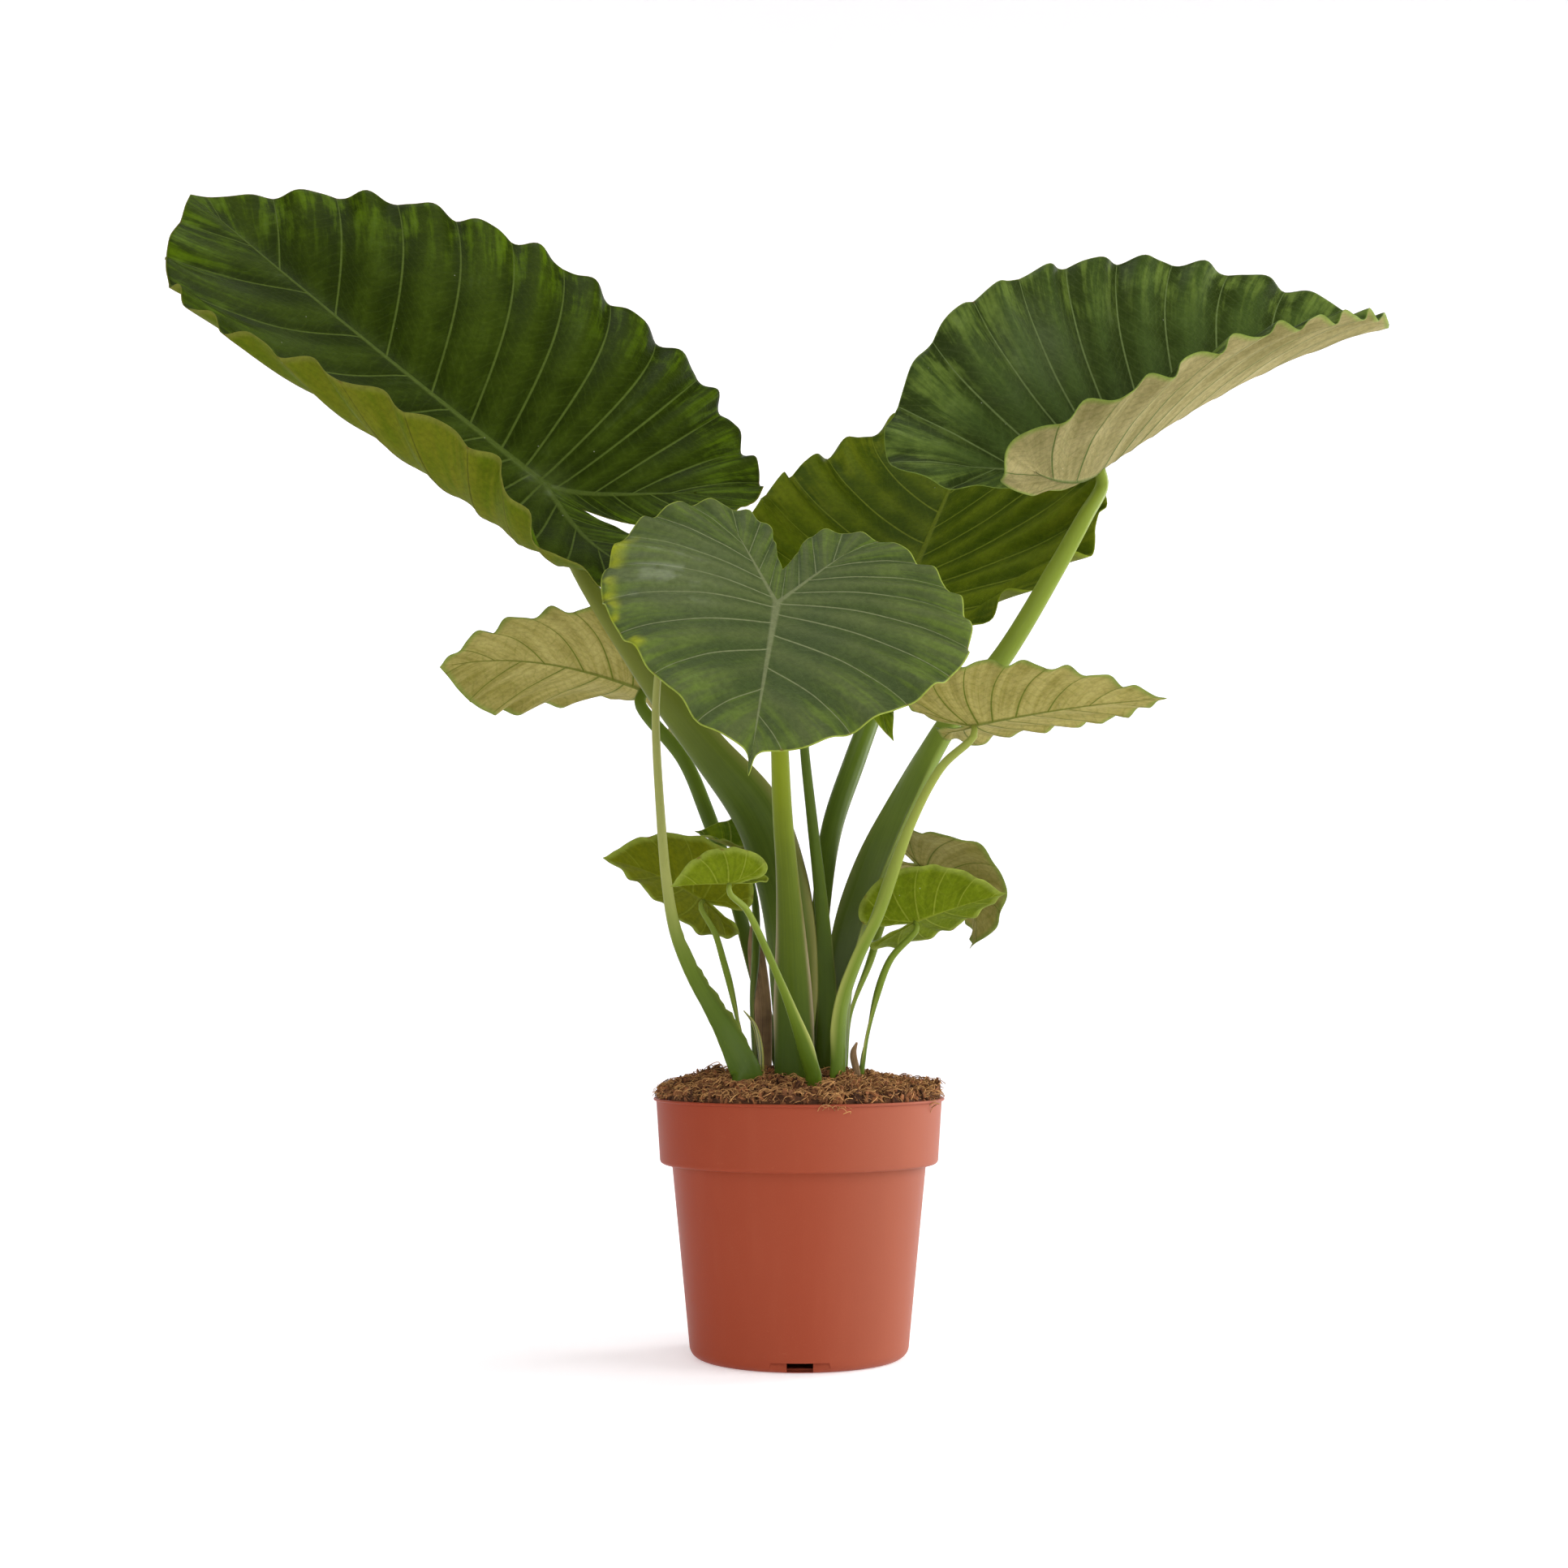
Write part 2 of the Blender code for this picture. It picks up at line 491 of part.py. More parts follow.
def add_object(name, mesh, collection, surface=None):
    """Link a mesh as an object and give it its material."""
    piece = bpy.data.objects.new(name, mesh)
    collection.objects.link(piece)
    if surface is not None:
        mesh.materials.append(surface)
    return piece


def mesh_of(name, verts, faces):
    """A mesh from vertices and faces."""
    mesh = bpy.data.meshes.new(name)
    mesh.from_pydata([tuple(v) for v in verts], [], faces)
    mesh.update()
    return mesh


def loft(name, rings):
    """A closed mesh through rings of equal length, with flat ends."""
    size = len(rings[0])
    verts = [q for ring in rings for q in ring]
    faces = [tuple(range(size))[::-1], tuple(range(len(verts) - size, len(verts)))]
    for i in range(len(rings) - 1):
        for j in range(size):
            a, b = i * size + j, i * size + (j + 1) % size
            faces.append((a, b, b + size, a + size))
    mesh = mesh_of(name, verts, faces)
    shape = bmesh.new()
    shape.from_mesh(mesh)
    bmesh.ops.recalc_face_normals(shape, faces=shape.faces)
    shape.to_mesh(mesh)
    shape.free()
    return mesh


def turned(name, profile, collection):
    """A body turned about Z from a profile of (radius, height) that runs down its outer side."""
    verts = [(r, 0.0, z) for r, z in profile]
    mesh = bpy.data.meshes.new(name)
    mesh.from_pydata(verts, [(i, i + 1) for i in range(len(verts) - 1)], [])
    piece = add_object(name, mesh, collection)
    screw = piece.modifiers.new("turn", "SCREW")
    screw.steps = screw.render_steps = TURN_STEPS
    screw.use_merge_vertices = True
    screw.merge_threshold = 0.00005
    evaluated = piece.evaluated_get(bpy.context.evaluated_depsgraph_get())
    solid = bpy.data.meshes.new_from_object(evaluated)
    piece.modifiers.clear()
    piece.data = solid
    bpy.data.meshes.remove(mesh)
    return piece


def arc(centre, radius, start, end, pieces):
    """Points on an arc, with angles in degrees."""
    angles = np.radians(np.linspace(start, end, pieces + 1))
    return [(centre[0] + radius * math.cos(a), centre[1] + radius * math.sin(a)) for a in angles]


def wall_radius(z):
    """Outer radius of the pot at a height, from the foot's rounding to the rim."""
    if z >= BAND_BOTTOM:
        share = (z - BAND_BOTTOM) / (POT_HEIGHT - BAND_BOTTOM)
        return BAND_LOW_RADIUS + (RIM_RADIUS - BAND_LOW_RADIUS) * share
    share = (z - FOOT_ROUND) / (BAND_BOTTOM - FOOT_ROUND)
    return BODY_LOW_RADIUS + (BODY_TOP_RADIUS - BODY_LOW_RADIUS) * share


def inner_profile(inset, top):
    """The line inside the pot's wall from the middle of the floor to a height, moved inwards by an inset."""
    ledge = BAND_BOTTOM + WALL
    return [(0.0, FLOOR + inset),
            (FOOT_RADIUS - inset, FLOOR + inset),
            (wall_radius(FOOT_ROUND) - FOOT_STEP - inset, FOOT_ROUND + inset),
            (wall_radius(FOOT_STEP_TOP) - WALL - inset, FOOT_STEP_TOP + inset),
            (BODY_TOP_RADIUS - WALL - inset, ledge + inset),
            (BAND_LOW_RADIUS - WALL - inset, ledge + LEDGE_RISE + inset),
            (wall_radius(top) - WALL - inset, top)]


def pot(collection, cutters):
    """The pot: a tapered body, a deeper band under a beaded rim, and drain slots in the foot's notches."""
    bead = arc((RIM_RADIUS + LIP - BEAD / 2, POT_HEIGHT - BEAD / 2), BEAD / 2, 90, -90, 4)
    band_edge = arc((BAND_LOW_RADIUS - BAND_ROUND, BAND_BOTTOM + BAND_ROUND), BAND_ROUND, 0, -90, 3)
    foot_centre = (wall_radius(FOOT_ROUND) - FOOT_ROUND, FOOT_ROUND)
    foot = arc(foot_centre, FOOT_ROUND, 0, -90, 4)
    profile = inner_profile(0.0, POT_HEIGHT) + bead + [(wall_radius(POT_HEIGHT - BEAD), POT_HEIGHT - BEAD)]
    profile += band_edge
    profile += [(BODY_TOP_RADIUS, BAND_BOTTOM)] + foot + [(0.0, 0.0)]
    piece = turned("pot", profile, collection)
    for k in range(NOTCH_COUNT):
        turn = math.radians(-90 + 360 * k / NOTCH_COUNT)
        face = wall_radius(NOTCH_HEIGHT)
        end = face + CUT_MARGIN
        for name, wide, taper, low, high, start in (
                ("notch", NOTCH_WIDTH, NOTCH_TAPER, -WALL, NOTCH_HEIGHT, face * FACE_SHARE - NOTCH_DEPTH),
                ("drain", DRAIN_WIDTH, 1.0, DRAIN_LOW, DRAIN_HIGH, face - DRAIN_LENGTH)):
            bpy.ops.mesh.primitive_cube_add(size=1)
            cutter = bpy.context.object
            cutter.name = f"cut_{name}_{k}"
            for corner in cutter.data.vertices:
                if corner.co.z > 0:
                    corner.co.y *= taper
            cutter.scale = (end - start, wide, high - low)
            middle = (start + end) / 2
            cutter.location = (middle * math.cos(turn), middle * math.sin(turn), (low + high) / 2)
            cutter.rotation_euler[2] = turn
            hide_cutter(cutter, cutters)
            cut(piece, cutter)
    return piece


def hide_cutter(cutter, cutters):
    """Keep a cutter as a wire guide in its own collection."""
    for home in list(cutter.users_collection):
        home.objects.unlink(cutter)
    cutters.objects.link(cutter)
    cutter.hide_render = True
    cutter.display_type = "WIRE"


def cut(piece, cutter):
    """Take a cutter out of a piece."""
    boolean = piece.modifiers.new(cutter.name, "BOOLEAN")
    boolean.operation = "DIFFERENCE"
    boolean.solver = "EXACT"
    boolean.object = cutter


def soil_height(x, y):
    """Height of the soil's lumpy mound with its heaps and its hollow."""
    r = math.hypot(x, y) / RIM_RADIUS
    lumps = math.sin(95 * x + 2) * math.cos(110 * y) + 0.6 * math.sin(190 * y + 70 * x)
    heaps = sum(high * math.exp(-((x - at_x) ** 2 + (y - at_y) ** 2) / reach ** 2)
                for at_x, at_y, reach, high in SOIL_HEAPS)
    return SOIL_EDGE_HEIGHT + SOIL_MOUND * (1 - r * r) + SOIL_LUMP * lumps + heaps


def soil(collection, cutters, stems):
    """The soil: it fills the pot to a low mound and has a plain hole for each stem."""
    outline = inner_profile(SOIL_GAP, POT_HEIGHT - BEAD)
    edge = outline[-1][0]
    top = [(edge * (1 - k / SOIL_RINGS), SOIL_EDGE_HEIGHT) for k in range(SOIL_RINGS + 1)]
    profile = (outline + [(edge, SOIL_EDGE_HEIGHT - SOIL_SKIRT)] + top[1:])[::-1]
    piece = turned("soil", profile, collection)
    for v in piece.data.vertices:
        if v.co.z > SOIL_EDGE_HEIGHT - SOIL_SKIRT / 2:
            v.co.z = soil_height(v.co.x, v.co.y)
    for name, stem in stems.items():
        cutter = add_object("hole_" + name, loft("hole_" + name, stem.hole()), collection)
        hide_cutter(cutter, cutters)
        cut(piece, cutter)
    return piece


def main():
    """Build the pot, the soil, the blades, the stems and the dry sheaths."""
    for old in list(bpy.data.objects):
        bpy.data.objects.remove(old, do_unlink=True)
    parts = bpy.data.collections.new(NAME)
    cutters = bpy.data.collections.new("cutters")
    bpy.context.scene.collection.children.link(parts)
    bpy.context.scene.collection.children.link(cutters)

    shell = pot(parts, cutters)
    shell.data.materials.append(material("pot_plastic", POT_TERRACOTTA, 0.55))
    filling = soil(parts, cutters, {**STEMS, **SHEATHS})
    filling.data.materials.append(material("soil", SOIL_BROWN, 0.95))

    for name, blade in BLADES.items():
        verts, faces = blade.sheet()
        surface = material("leaf_" + name, blade.tint, 0.45)
        piece = add_object("blade_" + name, mesh_of("blade_" + name, verts, faces), parts, surface)
        solid = piece.modifiers.new("thickness", "SOLIDIFY")
        solid.thickness = blade.thick
        solid.offset = 0.0
    for name, stem in STEMS.items():
        surface = material("stem_" + name, stem.tint, 0.4)
        add_object("stem_" + name, loft("stem_" + name, stem.rings(BLADES[name])), parts, surface)
    for name, sheath in SHEATHS.items():
        surface = material(name, sheath.tint, 0.6)
        add_object(name, loft(name, sheath.rings()), parts, surface)


main()
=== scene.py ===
"""Looks of a potted giant taro: waved blades with veins, waxy stems, coir soil and a plastic pot.

Every blade and stem follows the same sizes as its solid and replaces it with a finer mesh.
Lengths in the plant's tables are millimetres and angles are degrees. Meshes are in metres.
"""

import logging
import math
from dataclasses import dataclass
from enum import Enum

import bmesh
import bpy
import numpy as np
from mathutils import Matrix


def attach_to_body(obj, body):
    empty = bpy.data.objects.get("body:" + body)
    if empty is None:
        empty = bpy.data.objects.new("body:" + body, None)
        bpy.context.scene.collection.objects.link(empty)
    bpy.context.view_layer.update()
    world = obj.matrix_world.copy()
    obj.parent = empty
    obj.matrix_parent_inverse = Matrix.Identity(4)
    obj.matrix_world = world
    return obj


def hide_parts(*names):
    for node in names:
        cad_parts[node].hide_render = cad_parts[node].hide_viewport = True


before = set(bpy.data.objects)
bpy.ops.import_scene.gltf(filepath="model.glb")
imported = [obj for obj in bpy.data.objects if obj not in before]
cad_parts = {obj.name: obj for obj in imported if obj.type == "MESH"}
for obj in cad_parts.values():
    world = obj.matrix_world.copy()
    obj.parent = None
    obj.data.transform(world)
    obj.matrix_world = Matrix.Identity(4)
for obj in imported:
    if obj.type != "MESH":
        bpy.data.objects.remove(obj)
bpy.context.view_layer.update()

log = logging.getLogger("giant_taro")

Pair = tuple[float, float]
Triple = tuple[float, float, float]
Mark = tuple[float, float, float, float]
Colour = tuple[float, float, float]

BODY = "root"
MM = 0.001
GAP = 0.0003
POT_RIM = 0.1200
POT_HEIGHT = 0.2135


class Slot(Enum):
    """The record's material slots; each finish names one."""

    POT = "pot_plastic"
    SOIL = "soil"
    LEAF_DARK = "leaf_dark"
    LEAF_GREY = "leaf_grey_green"
    LEAF_GREEN = "leaf_green"
    LEAF_PALE = "leaf_pale"
    STEM = "stem_green"
    YOUNG_SHEATH = "young_sheath"
    DRY_SHEATH = "dry_sheath"


# Shader expressions


class Signal:
    """One node output that can be used like a number in an expression."""

    def __init__(self, painter: "Painter", socket: bpy.types.NodeSocket) -> None:
        """Wrap a socket.

        Args:
            painter: The builder of the tree that the socket is in.
            socket: The output socket.
        """
        self.painter = painter
        self.socket = socket

    def _math(self, operation: str, *values: "Signal | float") -> "Signal":
        """Add a Math node over the given values."""
        made = self.painter.node("ShaderNodeMath", {"operation": operation}, dict(enumerate(values)))
        return Signal(self.painter, made.outputs[0])

    def __add__(self, other: "Signal | float") -> "Signal":
        """Sum."""
        return self._math("ADD", self, other)

    __radd__ = __add__

    def __sub__(self, other: "Signal | float") -> "Signal":
        """Difference."""
        return self._math("SUBTRACT", self, other)

    def __rsub__(self, other: float) -> "Signal":
        """Difference with the number first."""
        return self._math("SUBTRACT", other, self)

    def __mul__(self, other: "Signal | float") -> "Signal":
        """Product."""
        return self._math("MULTIPLY", self, other)

    __rmul__ = __mul__

    def __truediv__(self, other: "Signal | float") -> "Signal":
        """Quotient."""
        return self._math("DIVIDE", self, other)

    def __pow__(self, other: float) -> "Signal":
        """Power."""
        return self._math("POWER", self, other)

    def fract(self) -> "Signal":
        """Part after the whole number."""
        return self._math("FRACT", self)

    def absolute(self) -> "Signal":
        """Value without its sign."""
        return self._math("ABSOLUTE", self)

    def sine(self) -> "Signal":
        """Sine of the value in radians."""
        return self._math("SINE", self)

    def highest(self, other: "Signal | float") -> "Signal":
        """Larger of two values."""
        return self._math("MAXIMUM", self, other)

    def step(self, low: float, high: float) -> "Signal":
        """Rise smoothly from 0 at low to 1 at high, or fall where low is above high.

        Args:
            low: Value where the result is 0.
            high: Value where the result is 1.

        Returns:
            The eased result.
        """
        start, end, first, last = (low, high, 0.0, 1.0) if low < high else (high, low, 1.0, 0.0)
        made = self.painter.node("ShaderNodeMapRange", {"interpolation_type": "SMOOTHSTEP"},
                                 {0: self, 1: start, 2: end, 3: first, 4: last})
        return Signal(self.painter, made.outputs[0])


class Painter:
    """Builds one material's node tree."""

    def __init__(self, name: str) -> None:
        """Start a material.

        Args:
            name: The material's name.
        """
        self.material = bpy.data.materials.new(name)
        self.material.use_nodes = True
        self.tree = self.material.node_tree
        self.shader = self.tree.nodes["Principled BSDF"]

    def node(self, kind: str, settings: dict | None = None, inputs: dict | None = None
             ) -> bpy.types.Node:
        """Add a node, set it up and connect it.

        Args:
            kind: The node's type.
            settings: Properties to set first.
            inputs: Values or signals by socket name or number.

        Returns:
            The new node.
        """
        made = self.tree.nodes.new(kind)
        for key, value in (settings or {}).items():
            setattr(made, key, value)
        for key, value in (inputs or {}).items():
            socket = made.inputs[key]
            if isinstance(value, Signal):
                self.tree.links.new(value.socket, socket)
            elif isinstance(value, tuple) and len(value) == 3 and socket.type == "RGBA":
                socket.default_value = (*value, 1.0)
            else:
                socket.default_value = value
        return made

    def value(self, kind: str, settings: dict | None = None, inputs: dict | None = None,
              output: int | str = 0) -> Signal:
        """Add a node and take one of its outputs."""
        return Signal(self, self.node(kind, settings, inputs).outputs[output])

    def attribute(self, name: str) -> Signal:
        """Read a number that the mesh carries."""
        return self.value("ShaderNodeAttribute", {"attribute_name": name}, output="Fac")

    def place(self) -> Signal:
        """Object coordinates in metres."""
        return self.value("ShaderNodeTexCoord", output="Object")

    def part(self, vector: Signal, axis: str) -> Signal:
        """One of a vector's three numbers, by its axis."""
        return self.value("ShaderNodeSeparateXYZ", {}, {0: vector}, axis)

    def stretch(self, vector: Signal, scale: Triple) -> Signal:
        """Scale a vector along its axes."""
        return self.value("ShaderNodeMapping", {}, {"Vector": vector, "Scale": scale})

    def vector(self, x: Signal | float, y: Signal | float, z: Signal | float) -> Signal:
        """Join three numbers into a vector."""
        return self.value("ShaderNodeCombineXYZ", {}, {0: x, 1: y, 2: z})

    def noise(self, vector: Signal, scale: float, detail: float = 2.0, rough: float = 0.5) -> Signal:
        """Soft noise from 0 to 1."""
        return self.value("ShaderNodeTexNoise", {},
                          {"Vector": vector, "Scale": scale, "Detail": detail, "Roughness": rough})

    def cells(self, vector: Signal, scale: float, feature: str = "F1") -> Signal:
        """Distance within a net of cells."""
        return self.value("ShaderNodeTexVoronoi", {"feature": feature},
                          {"Vector": vector, "Scale": scale})

    def mix(self, factor: Signal | float, first: "Signal | Colour", second: "Signal | Colour") -> Signal:
        """Blend two colours.

        Args:
            factor: Share of the second colour.
            first: The colour at 0.
            second: The colour at 1.

        Returns:
            The blended colour.
        """
        made = self.node("ShaderNodeMix", {"data_type": "RGBA"}, {0: factor, 6: first, 7: second})
        return Signal(self, made.outputs[2])

    def bump(self, height: Signal, depth: float, strength: float = 1.0) -> Signal:
        """Turn a height from 0 to 1 into a normal, with the height's depth in metres."""
        return self.value("ShaderNodeBump", {},
                          {"Height": height, "Distance": depth, "Strength": strength})

    def dress(self, **sockets: "Signal | float | Colour") -> bpy.types.Material:
        """Set the shader's sockets by name, with spaces as underscores.

        Returns:
            The finished material.
        """
        for key, value in sockets.items():
            socket = self.shader.inputs[key.replace("_", " ").title().replace("Ior", "IOR")]
            if isinstance(value, Signal):
                self.tree.links.new(value.socket, socket)
            elif isinstance(value, tuple):
                socket.default_value = (*value, 1.0)
            else:
                socket.default_value = value
        return self.material


# Marks that all blades share: their colours, then vein widths and reaches from the margin in metres

YELLOW_SPOT = (0.34, 0.38, 0.012)
BROWN_TIP = (0.13, 0.065, 0.018)
DUST = (0.55, 0.55, 0.45)
BLACK = (0.0, 0.0, 0.0)
VEIN_NARROW = 0.55
VEIN_WIDENS = 0.6
VEIN_WIDENS_OVER = 0.10
VEIN_LINE = (1.5, 0.5)
HALO_WIDTHS = 7.0
RIB_SHARE = 0.85
BRANCH_BEATS = (520.0, 640.0)
BRANCH_SHARPNESS = 18.0
GLOW_REACH = (0.100, 0.002)
UNDER_RIM = (0.007, 0.001)
RIM_LINE = (0.0014, 0.0004)
SPOT_REACH = (0.016, 0.003)
SPOT_SIDE = (-0.085, -0.110)
TIP_REACH = (0.0028, 0.0004)
# Distance from the centre where the painted sheen is at full strength.
SHEEN_FULL = 0.002
LEAF_GRAIN = 0.00040
PLANT_IOR = 1.45


class LeafPattern:
    """The signals that a blade's finish is mixed from: veins, side branches, clouds and streaks."""

    def __init__(self, p: Painter, vein_width: float) -> None:
        """Add the pattern's nodes.

        Args:
            p: The builder of the blade's material.
            vein_width: Half width of a vein's line in metres.
        """
        self.place = place = p.place()
        self.edge = p.attribute("edge")
        self.below = p.attribute("below")
        u = p.attribute("vein_u")
        along = p.attribute("along")
        self.band = 0.5 - (u.fract() - 0.5).absolute()
        from_vein = self.band * p.attribute("vein_gap")
        width = (self.edge.step(0.0, VEIN_WIDENS_OVER) * VEIN_WIDENS + VEIN_NARROW) * vein_width
        self.line = (from_vein / width).step(*VEIN_LINE)
        self.vein = self.line.highest(p.attribute("rib") * RIB_SHARE)
        self.halo = (from_vein / width).step(HALO_WIDTHS, 0.0)
        wobble = p.noise(place, 45.0, 3.0) * 9.0 + p.noise(place, 9.0, 1.0) * 14.0
        slant = along * BRANCH_BEATS[0] + from_vein * BRANCH_BEATS[1] + wobble
        self.branch = (slant.sine() * 0.5 + 0.5) ** BRANCH_SHARPNESS
        self.net = p.cells(p.stretch(place, (1.0, 1.0, 0.8)), 230.0, "DISTANCE_TO_EDGE").step(0.07, 0.0)
        self.broad = p.noise(place, 7.0, 3.0, 0.55)
        self.cloud = p.noise(place, 28.0, 3.0, 0.6)
        self.fine = p.noise(place, 240.0, 3.0, 0.6)
        self.streak = p.noise(p.vector(u * 3.1, along * 6.0, self.below), 2.2, 4.0, 0.62)


@dataclass(frozen=True)
class LeafFinish:
    """Waxy blade: pale veins on the upper face, a paler lower face and bright patches at the margin."""

    name: str
    slot: Slot
    upper: Colour
    upper_light: Colour
    glow: Colour
    vein: Colour
    under: Colour
    under_shade: Colour
    under_vein: Colour
    rim: Colour
    glow_amount: float = 0.6
    gloss: float = 0.05
    shine: float = 0.25
    rough: float = 0.36
    under_rough: float = 0.6
    spots: float = 0.0
    net: float = 0.12
    vein_width: float = 0.0009
    # Painted sheen: the upper face is tinted round this centre, and its coat is raised there.
    centre: Triple | None = None
    sheen_tint: Colour = (0.125, 0.165, 0.070)
    sheen_reach: float = 0.085

    def upper_face(self, p: Painter, m: LeafPattern) -> Signal:
        """Colour of the upper face."""
        near_edge = m.edge.step(*GLOW_REACH)
        patch = (m.streak * 0.8 + m.cloud * 0.4).step(0.54, 0.74) * (near_edge * 0.9 + 0.10)
        # Paler between the veins and darker along them: painted shade in the vein grooves, mixed with random
        # tone.
        lit = m.broad * 0.45 + m.cloud * 0.30 + m.band * 0.50
        colour = p.mix(lit.step(0.36, 0.68), self.upper, self.upper_light)
        colour = p.mix(patch * self.glow_amount, colour, self.glow)
        colour = p.mix(m.branch * self.net + m.net * self.net * 0.4, colour, self.vein)
        return p.mix(m.vein, colour, self.vein)

    def lower_face(self, p: Painter, m: LeafPattern) -> Signal:
        """Colour of the lower face."""
        shade = (m.broad * 0.4 + m.streak * 0.5 + m.cloud * 0.2).step(0.38, 0.72)
        colour = p.mix(shade, self.under, self.under_shade)
        colour = p.mix(m.branch * 0.22 + m.net * 0.10, colour, self.under_vein)
        colour = p.mix(m.halo * 0.45, colour, self.under_shade)
        colour = p.mix(m.vein, colour, self.under_vein)
        return p.mix(m.edge.step(*UNDER_RIM) * 0.7, colour, self.rim)

    def sheen_patch(self, p: Painter, m: LeafPattern) -> "Signal | float":
        """Share of the painted sheen on the upper face round the finish's centre."""
        if self.centre is None:
            return 0.0
        away = p.value("ShaderNodeVectorMath", {"operation": "DISTANCE"},
                       {0: m.place, 1: self.centre}, "Value")
        around = away + (m.cloud - 0.5) * self.sheen_reach
        return around.step(self.sheen_reach, SHEEN_FULL) * (1.0 - m.below)

    def marked(self, p: Painter, m: LeafPattern, colour: Signal, sheen_patch: "Signal | float") -> Signal:
        """Add the rim's line, yellow spots, the painted sheen, brown tips and dust.

        Args:
            p: The material's builder.
            m: The pattern.
            colour: The faces' colour.
            sheen_patch: Share of the painted sheen.

        Returns:
            The marked colour.
        """
        colour = p.mix(m.edge.step(*RIM_LINE) * 0.8, colour, self.rim)
        if self.spots:
            spot = p.noise(p.stretch(m.place, (1.0, 0.6, 1.0)), 38.0, 1.0).step(0.50, 0.64)
            spot = spot * m.edge.step(*SPOT_REACH) * p.part(m.place, "X").step(*SPOT_SIDE)
            colour = p.mix(spot * self.spots, colour, YELLOW_SPOT)
        if self.centre is not None:
            # Painted sheen round the centre.
            colour = p.mix(sheen_patch * 0.5, colour, self.sheen_tint)
        tip = m.edge.step(*TIP_REACH) * m.halo * m.cloud.step(0.45, 0.6)
        colour = p.mix(tip * 0.7, colour, BROWN_TIP)
        speck = p.cells(m.place, 55.0).step(0.045, 0.02) * p.noise(m.place, 14.0, 1.0).step(0.55, 0.6)
        colour = p.mix(speck * 0.35, colour, DUST)
        return p.mix(m.fine.step(0.3, 0.75) * 0.22, colour, BLACK)

    def build(self) -> bpy.types.Material:
        """Make the material.

        Returns:
            The blade's material.
        """
        p = Painter(self.name)
        m = LeafPattern(p, self.vein_width)
        sheen_patch = self.sheen_patch(p, m)
        colour = p.mix(m.below, self.upper_face(p, m), self.lower_face(p, m))
        rough = m.below * (self.under_rough - self.rough) + self.rough
        rough = rough + (m.cloud - 0.5) * 0.30 + (m.fine - 0.5) * 0.10
        height = m.net * -0.3 + m.branch * 0.25 + m.fine * 0.30 + m.cloud * 2.0 - m.line * 0.3
        shine = (m.cloud * 0.6 + m.streak * 0.5).step(0.60, 0.80) * (1.0 - m.below) * self.shine
        shine = shine + m.cloud.step(0.50, 0.62) * sheen_patch * 0.5
        return p.dress(base_color=self.marked(p, m, colour, sheen_patch), roughness=rough,
                       normal=p.bump(height, LEAF_GRAIN, 0.7), ior=PLANT_IOR,
                       specular_ior_level=self.gloss, coat_weight=shine, coat_roughness=0.30)


@dataclass(frozen=True)
class StemFinish:
    """Smooth fleshy stem with fine lengthwise streaks, often darker low down and paler under its blade, with
    painted shade inside its open channel.
    """

    name: str
    slot: Slot
    light: Colour
    dark: Colour
    foot: Colour
    crown: Colour
    edge: Colour
    foot_top: float = 0.300
    crown_from: float = 0.450
    crown_full: float = 0.620
    foot_full: float = 0.235
    stripes: float = 0.0
    rough: float = 0.42

    def build(self) -> bpy.types.Material:
        """Make the material.

        Returns:
            The stem's material.
        """
        p = Painter(self.name)
        place = p.place()
        height = p.part(place, "Z")
        around = p.attribute("around")
        along = p.attribute("along")
        wing = p.attribute("wing")
        channel_shade = p.attribute("channel_shade")
        lines = p.noise(p.vector(around * 22.0, along * 3.0, 0.0), 2.0, 4.0, 0.65)
        fibre = p.noise(p.vector(around * 90.0, along * 8.0, 0.0), 2.0, 2.0)
        blotch = p.noise(place, 18.0, 3.0)
        speck = p.noise(p.stretch(place, (1.0, 1.0, 0.25)), 420.0, 1.0).step(0.70, 0.76)
        colour = p.mix((lines * 0.6 + blotch * 0.5).step(0.35, 0.75), self.light, self.dark)
        colour = p.mix(height.step(self.crown_from, self.crown_full), colour, self.crown)
        colour = p.mix(height.step(self.foot_top, self.foot_full), colour, self.foot)
        # Painted shade inside the open channel.
        colour = p.mix(channel_shade * 0.7, colour, self.foot)
        if self.stripes:
            colour = p.mix((around * 5.0).fract().step(0.35, 0.5) * self.stripes, colour, self.edge)
        colour = p.mix(wing * 0.9, colour, self.edge)
        colour = p.mix(fibre * 0.25 + speck * 0.15, colour, self.light)
        rough = self.rough + (blotch - 0.5) * 0.2
        normal = p.bump(lines * 0.6 + fibre * 0.4, 0.0004, 0.5)
        return p.dress(base_color=colour, roughness=rough, normal=normal, ior=PLANT_IOR,
                       specular_ior_level=0.05, coat_weight=0.10, coat_roughness=0.22)


@dataclass(frozen=True)
class PaperFinish:
    """Dry papery sheath with lengthwise fibres."""

    name: str
    slot: Slot
    pale: Colour
    brown: Colour

    def build(self) -> bpy.types.Material:
        """Make the material.

        Returns:
            The dry sheath's material.
        """
        p = Painter(self.name)
        around = p.attribute("around")
        along = p.attribute("along")
        lines = p.noise(p.vector(around * 26.0, along * 6.0, 0.0), 2.0, 4.0, 0.7)
        blotch = p.noise(p.place(), 60.0, 3.0)
        colour = p.mix((lines * 0.6 + blotch * 0.4).step(0.3, 0.7), self.pale, self.brown)
        return p.dress(base_color=colour, roughness=0.75 + (blotch - 0.5) * 0.3,
                       normal=p.bump(lines, 0.0008, 0.8))


